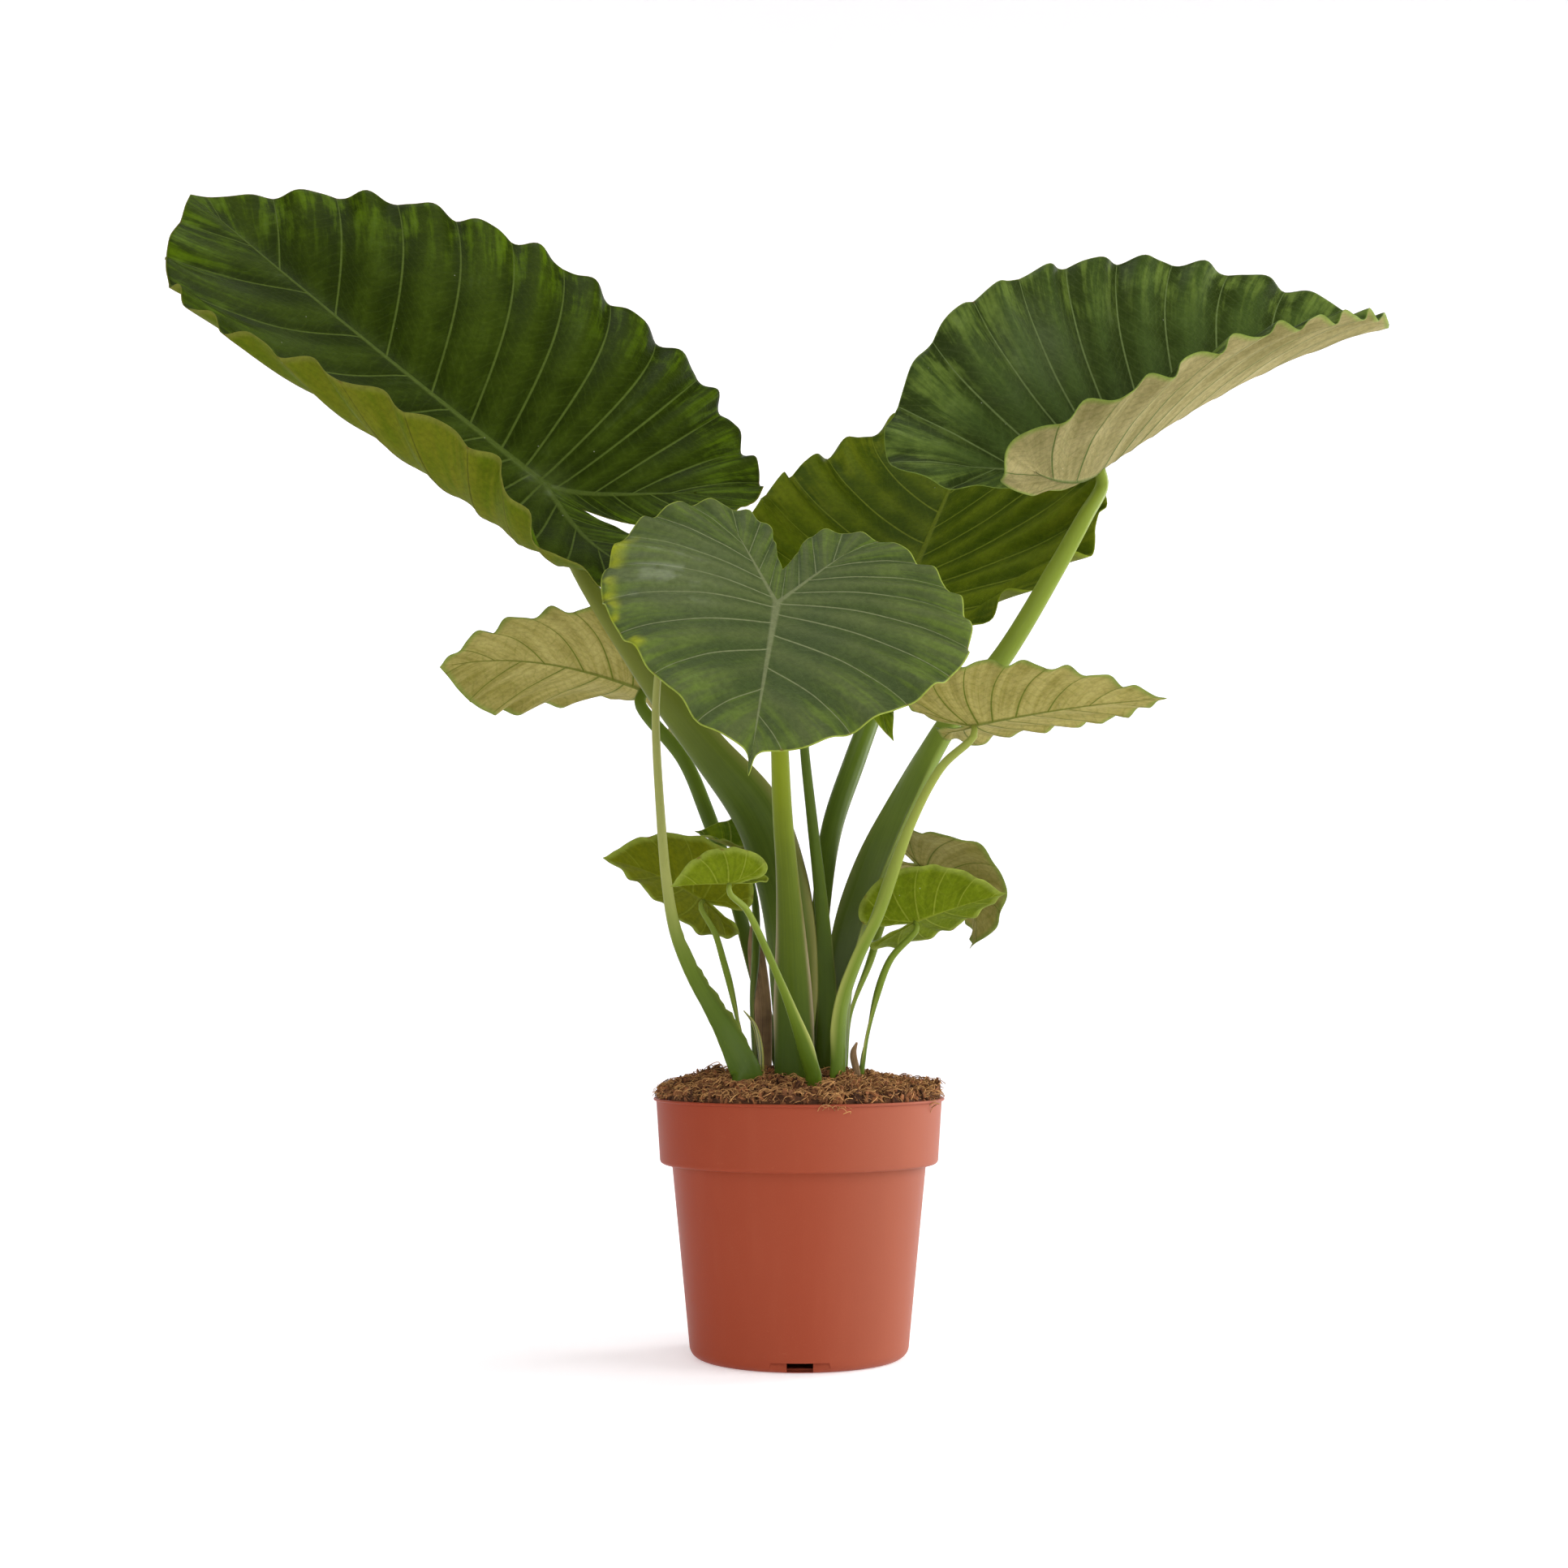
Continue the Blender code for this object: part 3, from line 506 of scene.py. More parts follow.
@dataclass(frozen=True)
class PotFinish:
    """Moulded terracotta-coloured plastic with a fine speckle, faint flow marks and light scuffs; paler
    towards +X as painted light and darker towards -X as painted shade.
    """

    name: str = "terracotta_plastic"
    slot: Slot = Slot.POT
    colour: Colour = (0.300, 0.060, 0.028)
    pale: Colour = (0.42, 0.12, 0.060)
    # Deeper random tone, also used as painted shade towards -X.
    deep_tone_and_shade: Colour = (0.255, 0.034, 0.011)
    # Painted light: the colour that the +X side turns to.
    lit_side: Colour = (0.36, 0.125, 0.076)
    middle: float = -0.01
    turn_away: float = 0.10

    def build(self) -> bpy.types.Material:
        """Make the material.

        Returns:
            The pot's material.
        """
        p = Painter(self.name)
        place = p.place()
        broad = p.noise(place, 7.0, 2.0)
        flow = p.noise(p.stretch(place, (1.0, 1.0, 0.15)), 60.0, 3.0)
        speckle = p.noise(place, 900.0, 2.0, 0.7)
        scuff = p.noise(p.stretch(place, (1.0, 1.0, 5.0)), 45.0, 5.0, 0.7).step(0.66, 0.72)
        dust = p.noise(place, 260.0, 2.0).step(0.74, 0.79)
        side = p.part(place, "X")
        colour = p.mix(broad.step(0.3, 0.7) * 0.15, self.colour, self.deep_tone_and_shade)
        # Painted light towards +X and painted shade towards -X.
        colour = p.mix(side.step(self.middle, self.turn_away) * 0.60, colour, self.lit_side)
        colour = p.mix(side.step(self.middle, -self.turn_away) * 0.50, colour, self.deep_tone_and_shade)
        colour = p.mix(flow.step(0.45, 0.8) * 0.07, colour, self.pale)
        colour = p.mix(speckle.step(0.55, 0.75) * 0.12, colour, self.pale)
        colour = p.mix(scuff * 0.16 + dust * 0.22, colour, self.pale)
        rough = 0.42 + (flow - 0.5) * 0.12 + scuff * 0.15
        normal = p.bump(speckle * 0.7 + flow * 0.5, 0.00012, 0.5)
        return p.dress(base_color=colour, roughness=rough, normal=normal, ior=1.48,
                       specular_ior_level=0.07)


@dataclass(frozen=True)
class EarthFinish:
    """Coir, bark or peat in browns that change from bit to bit."""

    name: str
    slot: Slot
    dark: Colour
    light: Colour
    scale: float = 240.0

    def build(self) -> bpy.types.Material:
        """Make the material.

        Returns:
            The soil's material.
        """
        p = Painter(self.name)
        place = p.place()
        bits = p.noise(place, self.scale, 3.0, 0.6)
        area = p.noise(place, 55.0, 2.0)
        tone = p.attribute("tone")
        share = (bits * 0.35 + tone * 0.65 + (area - 0.5) * 0.7).step(0.05, 0.85)
        colour = p.mix(share, self.dark, self.light)
        return p.dress(base_color=colour, roughness=0.92 + (bits - 0.5) * 0.1,
                       normal=p.bump(bits, 0.0009, 0.9), specular_ior_level=0.25)


# Shared curve and mesh helpers


def smooth_line(marks: np.ndarray, pieces: int) -> np.ndarray:
    """Run a centripetal curve through marks.

    Args:
        marks: Points, one a row.
        pieces: Steps between two marks.

    Returns:
        The curve's points.
    """
    marks = np.asarray(marks, float)
    marks = np.vstack((2 * marks[0] - marks[1], marks, 2 * marks[-1] - marks[-2]))
    out = []
    for p0, p1, p2, p3 in zip(marks, marks[1:], marks[2:], marks[3:]):
        t1 = np.linalg.norm(p1 - p0) ** 0.5
        t2 = t1 + np.linalg.norm(p2 - p1) ** 0.5
        t3 = t2 + np.linalg.norm(p3 - p2) ** 0.5
        t = np.linspace(t1, t2, pieces, endpoint=False)[:, None]
        a1 = (t1 - t) / t1 * p0 + t / t1 * p1
        a2 = (t2 - t) / (t2 - t1) * p1 + (t - t1) / (t2 - t1) * p2
        a3 = (t3 - t) / (t3 - t2) * p2 + (t - t2) / (t3 - t2) * p3
        b1 = (t2 - t) / t2 * a1 + t / t2 * a2
        b2 = (t3 - t) / (t3 - t1) * a2 + (t - t1) / (t3 - t1) * a3
        out.append((t2 - t) / (t2 - t1) * b1 + (t - t1) / (t2 - t1) * b2)
    out.append(marks[-2][None])
    return np.vstack(out)


def ease(x: np.ndarray | float, low: float, high: float) -> np.ndarray:
    """Smooth rise from 0 at low to 1 at high."""
    t = np.clip((np.asarray(x, float) - low) / (high - low), 0, 1)
    return t * t * (3 - 2 * t)


def lengths(line: np.ndarray) -> np.ndarray:
    """Distance along a line at each of its points."""
    return np.concatenate(((0.0,), np.cumsum(np.linalg.norm(np.diff(line, axis=0), axis=1))))


def band_faces(rows: int, steps: int) -> list[tuple[int, int, int, int]]:
    """Faces between closed rings of vertices that follow one another.

    Args:
        rows: How many rings there are.
        steps: Vertices in a ring.

    Returns:
        The faces as vertex numbers.
    """
    return [(i * steps + j, i * steps + (j + 1) % steps,
             (i + 1) * steps + (j + 1) % steps, (i + 1) * steps + j)
            for i in range(rows - 1) for j in range(steps)]


def put(name: str, data: bpy.types.ID) -> bpy.types.Object:
    """Make an object from its data and link it to the scene."""
    made = bpy.data.objects.new(name, data)
    bpy.context.scene.collection.objects.link(made)
    return made


def face_outwards(piece: bpy.types.Object) -> None:
    """Turn the faces of a closed piece outwards."""
    shape = bmesh.new()
    shape.from_mesh(piece.data)
    bmesh.ops.recalc_face_normals(shape, faces=shape.faces)
    shape.to_mesh(piece.data)
    shape.free()


def new_piece(name: str, verts: np.ndarray, faces: list[tuple[int, ...]],
              material: bpy.types.Material, corners: dict[str, np.ndarray] | None = None
              ) -> bpy.types.Object:
    """Make an object at the origin from vertices and faces.

    Args:
        name: The object's name.
        verts: Vertex places in metres.
        faces: Faces as vertex numbers.
        material: The material.
        corners: Numbers for each face corner, by attribute name.

    Returns:
        The new object.
    """
    mesh = bpy.data.meshes.new(name)
    mesh.from_pydata(verts.tolist(), [], faces)
    for key, values in (corners or {}).items():
        layer = mesh.attributes.new(key, "FLOAT", "CORNER")
        layer.data.foreach_set("value", np.asarray(values, np.float32))
    mesh.materials.append(material)
    mesh.shade_smooth()
    mesh.update()
    return put(name, mesh)


def hand_over(piece: bpy.types.Object, slot: Slot, *nodes: str) -> None:
    """Let a piece ride the plant's body and stand for its solids."""
    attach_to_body(piece, BODY)
    if nodes:
        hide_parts(*nodes)
    log.info("%s: %d faces for %s", piece.name, len(piece.data.polygons),
             ", ".join(nodes) or "no solid")


# Leaves

# Margin marks: shares of the length and the width in front, then of the lobe and the width behind
MARGIN_FRONT = ((0.955, 0.055), (0.84, 0.30), (0.66, 0.60), (0.45, 0.83), (0.22, 0.97), (0.05, 1.0))
MARGIN_LOBE = ((0.25, 0.975), (0.60, 0.84), (0.90, 0.62), (1.0, 0.42))
MARGIN_CLEFT = ((0.915, 0.25), (0.63, 0.14), (0.28, 0.075))
DRIP_REACH = 0.07
LOBE_RIB = (0.70, 0.31)
MIDRIB_END = 0.94
CURVE_PIECES = 16

# Bending of the flat blade
FLAT_RIB_SHARE = 0.02
BEND_EXPONENT = 1.4
DROOP_EXPONENT = 1.5
PLACE_PIECES = 8
LOBE_STATIONS = 17
BLADE_STATIONS = 33
FALL_SHARE = 0.42

# Columns and rows of the mesh
VEIN_CLUSTER = (0.0, 0.022, 0.055, 0.11, 0.18, 0.25, 0.32, 0.39, 0.445, 0.478)
VEIN_OFFSET = 0.25
VEIN_BOW = 0.075
BOW_EXPONENT = 1.2
START_PULL = 0.12
RIB_ROWS = (0.0, 0.35, 0.7, 1.0, 1.4)
RIB_SPACE = 4.5
ROW_EXPONENT = 0.92

# Waves of the margin and quilting between the veins
WAVE_EXPONENT = 3
WAVE_REACH = 0.45
TIP_CALM = 0.12
SINUS_CALM = 0.25
SIDE_WAVE = (0.35, 1.7, 2)
SWELL_RISE = (0.02, 0.45)
SWELL_CALM = 0.12
DRIFT_RISE = (0.1, 0.6)
DRIFT = 0.35

# Thickness, ribs and raised veins
RIB_TAPER = 0.80
MIDRIB_TAPER_EXPONENT = 0.7
LOBE_RIB_TAPER_EXPONENT = 0.6
RIB_EDGE = (0.75, 1.25)
RIDGE_DROP = 0.55
RIDGE_EXPONENT = 1.5
RIDGE_ABOVE = 0.2
VEIN_SIZE = 0.0011
VEIN_FADE = 0.35
LEAST_FADE = 0.25
CORD_DROP = 0.15
GROOVE_ABOVE = 0.35
RIM_SHARE = 0.4
RIM_ROUND = 0.004

# Weld grid in steps a metre, and the least lengths that are divided by
WELD = 1e6
TINY = 1e-12
TINY_AREA = 1e-14


@dataclass
class LeafBlade:
    """One waved heart-shaped blade with its midrib, lobe ribs and side veins.

    A fold or a curl has three angles: at the lobe's end, at the stem and at the tip.
    """

    key: str
    at: Triple
    turn: float
    rise: float
    roll: float
    length: float
    left: float
    right: float
    lobe: float
    finish: LeafFinish
    veins: int = 7
    lobe_veins: int = 3
    sinus: float = 10
    droop: float = 0
    sweep: float = 0
    twist: float = 0
    lobe_rise: float = 0
    belly: float = 1.0
    cleft: float = 1.0
    drip: float = 0.0
    fold_left: Triple = (0, 0, 0)
    fold_right: Triple = (0, 0, 0)
    curl_left: Triple = (0, 0, 0)
    curl_right: Triple = (0, 0, 0)
    wave: float = 6.0
    thick: float = 1.2
    pleat: float = 1.2
    pleat_right: float = 0.0
    scallop: float = 0.0
    rib: float = 4.0
    rows: int = 24

    def axes(self) -> np.ndarray:
        """Rows: towards the tip, to the left, and up out of the upper face, where the stem ends."""
        turn, rise, roll = (math.radians(a) for a in (self.turn, self.rise, self.roll))
        ca, sa, ce, se = math.cos(turn), math.sin(turn), math.cos(rise), math.sin(rise)
        tip = np.array((ce * ca, ce * sa, se))
        left = np.array((-sa, ca, 0.0))
        up = np.cross(tip, left)
        c, s = math.cos(roll), math.sin(roll)
        return np.array((tip, c * left + s * up, c * up - s * left))

    def width(self, side: int) -> float:
        """Half width of one side in metres."""
        return (self.left if side > 0 else self.right) * MM

    def graded(self, values: Triple, x: np.ndarray) -> np.ndarray:
        """Blend the lobe, stem and tip values along the blade, in radians."""
        back, attach, tip = np.radians(values)
        front = np.clip(x / (self.length * MM), 0, 1) ** BEND_EXPONENT
        rear = np.clip(-x / (self.lobe * MM), 0, 1) ** BEND_EXPONENT
        return attach + (tip - attach) * front + (back - attach) * rear

    def spine(self) -> tuple[np.ndarray, np.ndarray, np.ndarray, np.ndarray]:
        """Stations along the bent midrib.

        Returns:
            The stations, their points, and the left and up axes at each.
        """
        x = np.concatenate((np.linspace(-self.lobe, 0, LOBE_STATIONS),
                            np.linspace(0, self.length, BLADE_STATIONS)[1:])) * MM
        front = np.clip(x / (self.length * MM), 0, 1)
        rear = np.clip(-x / (self.lobe * MM), 0, 1)
        pitch = math.radians(self.lobe_rise) * rear - math.radians(self.droop) * front ** DROOP_EXPONENT
        yaw = math.radians(self.sweep) * front ** DROOP_EXPONENT
        roll = math.radians(self.twist) * front
        tip = np.stack((np.cos(pitch) * np.cos(yaw), np.cos(pitch) * np.sin(yaw), np.sin(pitch)), 1)
        left = np.stack((-np.sin(yaw), np.cos(yaw), 0 * yaw), 1)
        up = np.cross(tip, left)
        c, s = np.cos(roll)[:, None], np.sin(roll)[:, None]
        left, up = c * left + s * up, c * up - s * left
        points = np.zeros((len(x), 3))
        points[1:] = np.cumsum((tip[1:] + tip[:-1]) / 2 * np.diff(x)[:, None], 0)
        points -= [np.interp(0, x, points[:, i]) for i in range(3)]
        return x, points, left, up

    def placed(self, flat: np.ndarray, side: int) -> np.ndarray:
        """Bend flat points of one half into the world.

        Args:
            flat: Points (n, 2) along and across the flat blade in metres.
            side: 1 for the left half and -1 for the right.

        Returns:
            World points (n, 3).
        """
        x = flat[:, 0]
        t = np.abs(flat[:, 1])
        stations, *spine = self.spine()
        at, left, up = (np.stack([np.interp(x, stations, m[:, i]) for i in range(3)], 1) for m in spine)
        fold = self.graded(self.fold_left if side > 0 else self.fold_right, x)
        curl = self.graded(self.curl_left if side > 0 else self.curl_right, x)
        flat_rib = (FLAT_RIB_SHARE * self.length * MM) ** 2
        out = np.zeros_like(t)
        rise = np.zeros_like(t)
        for k in range(PLACE_PIECES):
            tk = t * (k + 0.5) / PLACE_PIECES
            angle = fold * tk ** 2 / (tk ** 2 + flat_rib) + curl * tk / self.width(side)
            out += np.cos(angle) * t / PLACE_PIECES
            rise += np.sin(angle) * t / PLACE_PIECES
        local = at + (side * out)[:, None] * left + rise[:, None] * up
        return np.array(self.at) * MM + local @ self.axes()

    def margin(self, side: int) -> tuple[np.ndarray, np.ndarray]:
        """The flat margin of one half from the tip to the sinus.

        Returns:
            Its points, and the share of its length at each.
        """
        width = self.width(side)
        length, lobe = self.length * MM, self.lobe * MM
        marks = [(length, 0.0)] + [(u * length, w ** self.belly * width) for u, w in MARGIN_FRONT]
        marks[1] = (marks[1][0] - DRIP_REACH * self.drip * length, marks[1][1])
        marks += [(-u * lobe, w * width) for u, w in MARGIN_LOBE]
        sinus = self.sinus * MM
        marks += [(-sinus - u * (lobe - sinus), w * width * self.cleft) for u, w in MARGIN_CLEFT]
        marks.append((-sinus, 0.0))
        line = smooth_line(marks, CURVE_PIECES)
        line[:, 0] = np.clip(line[:, 0], -lobe, length)
        line[:, 1] = np.maximum(line[:, 1], 0) * side
        share = lengths(line)
        return line, share / share[-1]

    def beats(self) -> tuple[np.ndarray, np.ndarray]:
        """Column stops, crowded at the veins of both halves.

        Returns:
            Stops along the front part and along a lobe flank, each from 0 to 1.
        """
        cluster = np.array(VEIN_CLUSTER)

        def stops(count: int) -> np.ndarray:
            grid = np.concatenate([k / 2 + cluster for k in range(2 * count)] + [(float(count),)])
            return grid / count

        return stops(self.veins), stops(self.lobe_veins)

    def columns(self, side: int) -> dict[str, np.ndarray]:
        """Every column of one half, from tip to sinus.

        Args:
            side: 1 for the left half and -1 for the right.

        Returns:
            The margin share, vein count, start, end and bend of each column.
        """
        line, share = self.margin(side)
        front = share[np.argmin(np.abs(line[:, 0]))]
        back = share[np.argmin(line[:, 0])]
        along, flank = self.beats()
        flank = flank[1:]
        rib_end = np.array((-LOBE_RIB[0] * self.lobe * MM, side * LOBE_RIB[1] * self.width(side)))
        s = 1 - along
        midrib = MIDRIB_END * self.length * MM * s * (START_PULL + (1 - START_PULL) * s)
        start = np.vstack((np.stack((midrib, 0 * s), 1), flank[:, None] * rib_end,
                           (1 - flank[:, None]) * rib_end))
        shares = np.concatenate((front * along, front + (back - front) * flank,
                                 back + (1 - back) * flank))
        u = np.concatenate((self.veins * along, self.veins + self.lobe_veins * flank,
                            self.veins + self.lobe_veins * (1 + flank)))
        u = u + (VEIN_OFFSET if side > 0 else VEIN_OFFSET + 0.5)
        end = np.stack([np.interp(shares, share, line[:, i]) for i in range(2)], 1)
        reach = np.linalg.norm(end - start, axis=1)
        way = (end - start) / reach[:, None]
        tooth = self.scallop * MM * (1 - np.abs(np.sin(math.pi * u))) * self.fade(shares, reach, side)
        bend = np.concatenate((np.sin(math.pi * np.clip(2 * along, 0, 1) / 2),
                               np.cos(math.pi * flank / 2), 0 * flank))
        end = end - way * tooth[:, None]
        return {"share": shares, "u": u, "start": start, "end": end, "bend": bend}

    def fade(self, share: np.ndarray, reach: np.ndarray, side: int) -> np.ndarray:
        """Strength of the margin's waves: none at the tip and sinus, less where veins are short."""
        return np.minimum.reduce([np.ones_like(share), share / TIP_CALM, (1 - share) / SINUS_CALM,
                                  reach / (WAVE_REACH * self.width(side))])

    def half(self, side: int) -> dict[str, np.ndarray]:
        """Grid of one half: rows from the ribs to the margin, and columns from tip to sinus.

        Args:
            side: 1 for the left half and -1 for the right.

        Returns:
            Flat points, middle-surface points and the shading numbers, each (rows, columns, ...).
        """
        cols = self.columns(side)
        start, end, share = cols["start"], cols["end"], cols["share"]
        reach = np.linalg.norm(end - start, axis=1)
        radius = self.rib_radius(start)
        near = np.array(RIB_ROWS)[:, None] * radius * np.minimum(1.0, reach / (RIB_SPACE * radius))
        far = np.linspace(0, 1, self.rows + 1)[1:, None] ** ROW_EXPONENT
        distance = np.vstack((near, near[-1] + (reach - near[-1]) * far))
        b = distance / reach
        way = (end - start) / reach[:, None]
        behind = np.stack((-np.abs(way[:, 1]), side * way[:, 0]), 1)
        bow = VEIN_BOW * reach * cols["bend"]
        lean = (4 * b ** BOW_EXPONENT * (1 - b))[..., None] * bow[:, None] * behind
        flat = start + (end - start) * b[..., None] + lean
        shape = flat.shape[:2]
        middle = self.placed(flat.reshape(-1, 2), side).reshape(*shape, 3)
        grid = {"flat": flat, "b": b, "distance": distance}
        for key, row in (("reach", reach), ("radius", radius), ("u", cols["u"]), ("share", share)):
            grid[key] = np.broadcast_to(row, shape)
        grid["points"] = middle + self.heights(grid, side)[..., None] * self.grid_normals(middle, side)
        return grid

    def rib_radius(self, start: np.ndarray) -> np.ndarray:
        """Radius of the midrib or lobe rib where a column starts."""
        front = np.clip(start[:, 0] / (self.length * MM), 0, 1)
        rear = np.clip(np.linalg.norm(start, axis=1) / (self.lobe * MM), 0, 1)
        return self.rib * MM * np.where(start[:, 0] > 0, 1 - RIB_TAPER * front ** MIDRIB_TAPER_EXPONENT,
                                        1 - RIB_TAPER * rear ** LOBE_RIB_TAPER_EXPONENT)

    def heights(self, grid: dict[str, np.ndarray], side: int) -> np.ndarray:
        """Waves of the margin and soft quilting between veins, above the bent blade."""
        u, b, share, reach = grid["u"], grid["b"], grid["share"], grid["reach"]
        turn = 2 * math.pi * u
        share_of_wave, beat, phase = SIDE_WAVE
        wave = self.wave * MM * b ** WAVE_EXPONENT * self.fade(share, reach, side)
        wave = wave * (-np.cos(turn) + share_of_wave * np.sin(beat * turn + phase))
        swell = (0.5 - 0.5 * np.cos(turn)) * ease(b, *SWELL_RISE) * (1 - 0.5 * b ** 2)
        grow = np.minimum(1.0, reach / (0.5 * self.width(side))) * ease(1 - share, 0.0, SWELL_CALM)
        drift = np.sin(u * 1.3 + 5 * b + self.rise) * np.sin(u * 0.7 - 9 * b + self.turn)
        drift = drift * ease(b, *DRIFT_RISE)
        pleat = self.pleat if side > 0 or not self.pleat_right else self.pleat_right
        return wave + pleat * MM * (swell + DRIFT * drift) * grow

    def grid_normals(self, points: np.ndarray, side: int) -> np.ndarray:
        """Unit normals of a grid of points, towards the upper face."""
        along = -np.gradient(points, axis=1)
        across = np.gradient(points, axis=0) * side
        normal = np.cross(along, across)
        size = np.linalg.norm(normal, axis=2, keepdims=True)
        return np.where(size > TINY, normal / np.maximum(size, TINY), self.axes()[2])

    def build(self) -> bpy.types.Object:
        """Make the blade as one closed mesh with shading numbers on its corners.

        Returns:
            The blade's object.
        """
        halves = {side: self.half(side) for side in (1, -1)}
        keys = np.vstack([np.round(g["flat"].reshape(-1, 2) * WELD).astype(int) for g in halves.values()])
        points = np.vstack([g["points"].reshape(-1, 3) for g in halves.values()])
        _, first, index = np.unique(keys, axis=0, return_index=True, return_inverse=True)
        middle = points[first]
        index = index.reshape(-1)
        rings, facts, rims = [], [], []
        taken = 0
        for side, grid in halves.items():
            shape = grid["b"].shape
            ids = index[taken:taken + shape[0] * shape[1]].reshape(shape)
            taken += ids.size
            beat = np.gradient(grid["u"], axis=1)
            span = np.linalg.norm(np.gradient(grid["points"], axis=1), axis=2)
            span = span / np.maximum(beat, 1 / WELD)
            rib = 1 - ease(grid["distance"] / grid["radius"], *RIB_EDGE)
            table = np.stack((grid["u"], span, grid["distance"], grid["reach"] - grid["distance"], rib,
                              grid["radius"]), 2)
            for source, store in ((ids, rings), (table, facts)):
                corners = np.stack((source[:-1, :-1], source[:-1, 1:], source[1:, 1:],
                                    source[1:, :-1]), 2)
                corners = corners.reshape(-1, *corners.shape[2:])
                store.append(corners[:, ::-1] if side > 0 else corners)
            rims.append(ids[-1].tolist())
        return self.close(middle, np.vstack(rings), np.vstack(facts), rims)

    def close(self, middle: np.ndarray, rings: np.ndarray, facts: np.ndarray,
              rims: list[list[int]]) -> bpy.types.Object:
        """Give the middle surface its two faces, ribs and a rounded rim.

        Args:
            middle: Points of the middle surface.
            rings: Its faces (n, 4), seen from the upper side; a corner may repeat the one before it.
            facts: Shading numbers (n, 4, k) for the corners of each face.
            rims: Margin vertices of the left and right halves, from tip to sinus.

        Returns:
            The blade's object.
        """
        sound = (rings[:, 0] != rings[:, 2]) & (rings[:, 1] != rings[:, 3])
        keep = rings != np.roll(rings, 1, axis=1)
        sound &= keep.sum(axis=1) > 2
        rings, facts, keep = rings[sound], facts[sound], keep[sound]
        top, bottom = self.skins(middle, rings, facts)
        count = len(middle)
        faces = [tuple(ring[held]) for ring, held in zip(rings, keep)]
        faces += [tuple(ring[held][::-1] + count) for ring, held in zip(rings, keep)]
        upper = facts[keep]
        sizes = keep.sum(axis=1)
        ends = np.cumsum(sizes)
        order = np.concatenate([np.arange(end - 1, end - size - 1, -1) for end, size in zip(ends, sizes)])
        table = np.vstack((np.column_stack((upper[:, :5], np.zeros(len(upper)))),
                           np.column_stack((upper[order, :5], np.ones(len(upper))))))
        left, right = rims
        loop = left + right[::-1][1:]
        loop = loop[:-1] if loop[0] == loop[-1] else loop
        rim_rows = []
        for a, b in zip(loop, loop[1:] + loop[:1]):
            if a != b:
                faces.append((b, a, a + count, b + count))
                rim_rows += [(0.5, 1.0, 0.0, 0.0, 0.0, flag) for flag in (0.0, 0.0, 1.0, 1.0)]
        table = np.vstack((table, rim_rows))
        corners = dict(zip(("vein_u", "vein_gap", "along", "edge", "rib", "below"), table.T))
        piece = new_piece("leaf_" + self.key, np.vstack((top, bottom)), faces,
                          MATERIALS[self.finish.name], corners)
        hand_over(piece, self.finish.slot, "blade_" + self.key)
        return piece

    def skins(self, middle: np.ndarray, rings: np.ndarray, facts: np.ndarray
              ) -> tuple[np.ndarray, np.ndarray]:
        """Offset the middle surface to both sides, thinner at the rim and thicker at ribs and veins.

        Args:
            middle: Points of the middle surface.
            rings: Its faces (n, 4), seen from the upper side.
            facts: Shading numbers (n, 4, k) for the corners of each face.

        Returns:
            The upper and the lower points.
        """
        count = len(middle)
        normal = np.zeros_like(middle)
        for a, b, c in ((0, 1, 2), (0, 2, 3)):
            face = np.cross(middle[rings[:, b]] - middle[rings[:, a]],
                            middle[rings[:, c]] - middle[rings[:, a]])
            face /= np.maximum(np.linalg.norm(face, axis=1, keepdims=True), TINY_AREA) ** 0.5
            for corner in (a, b, c):
                np.add.at(normal, rings[:, corner], face)
        normal /= np.maximum(np.linalg.norm(normal, axis=1, keepdims=True), TINY)

        ids = rings.reshape(-1)
        u, span, distance, edge_gap, near_rib, rib_radius = facts.reshape(-1, facts.shape[2]).T
        from_vein = (0.5 - np.abs(u % 1 - 0.5)) * span
        vein, rib, radius = np.zeros(count), np.zeros(count), np.zeros(count)
        edge = np.ones(count)
        fade = np.clip(edge_gap / (VEIN_FADE * (distance + edge_gap)), LEAST_FADE, 1)
        np.maximum.at(vein, ids, np.exp(-(from_vein / VEIN_SIZE) ** 2) * fade)
        np.maximum.at(rib, ids, near_rib)
        np.maximum.at(radius, ids, rib_radius)
        np.minimum.at(edge, ids, edge_gap)
        half = RIM_SHARE + (1 - RIM_SHARE) * np.clip(edge / RIM_ROUND, 0, 1) ** 0.5
        half = self.thick * MM / 2 * half
        ridge = radius * RIDGE_DROP * rib ** RIDGE_EXPONENT
        cord = self.rib * MM * CORD_DROP * vein * (1 - rib)
        return (middle + normal * (half + ridge * RIDGE_ABOVE - cord * GROOVE_ABOVE)[:, None],
                middle - normal * (half + ridge + cord)[:, None])

    def stem_end(self, width: float) -> np.ndarray:
        """Where a stem of this half width ends: just under the blade, also where a half falls away."""
        fall = 0.0
        for side in (1, -1):
            out = np.array([[0.0, side * FALL_SHARE * self.width(side)]])
            across, rise = ((self.placed(out, side)[0] - np.array(self.at) * MM) @ self.axes().T)[1:]
            fall = max(fall, -rise / abs(across) * width)
        return np.array(self.at) * MM - self.axes()[2] * (self.thick * MM / 2 + GAP + fall)


# Stems

# Seat, collar and step in metres; the others are counts, and shares of a stem's length or width
SEAT = 0.2060
COLLAR = 0.2350
NECK = 2.5
END_TAPER = 0.65
STEM_SIDES = 40
STEM_STEP = 0.005
FEWEST_STEPS = 24
FOOT_CHANNEL = 0.3
FOOT_SHARE = 0.1
CHANNEL_SHARE = 0.25
WING_CORNER = 0.10
WING_START = (0.02, 0.12)
WING_FLARE = 0.35
RUFFLE_BEATS = (420, 133)


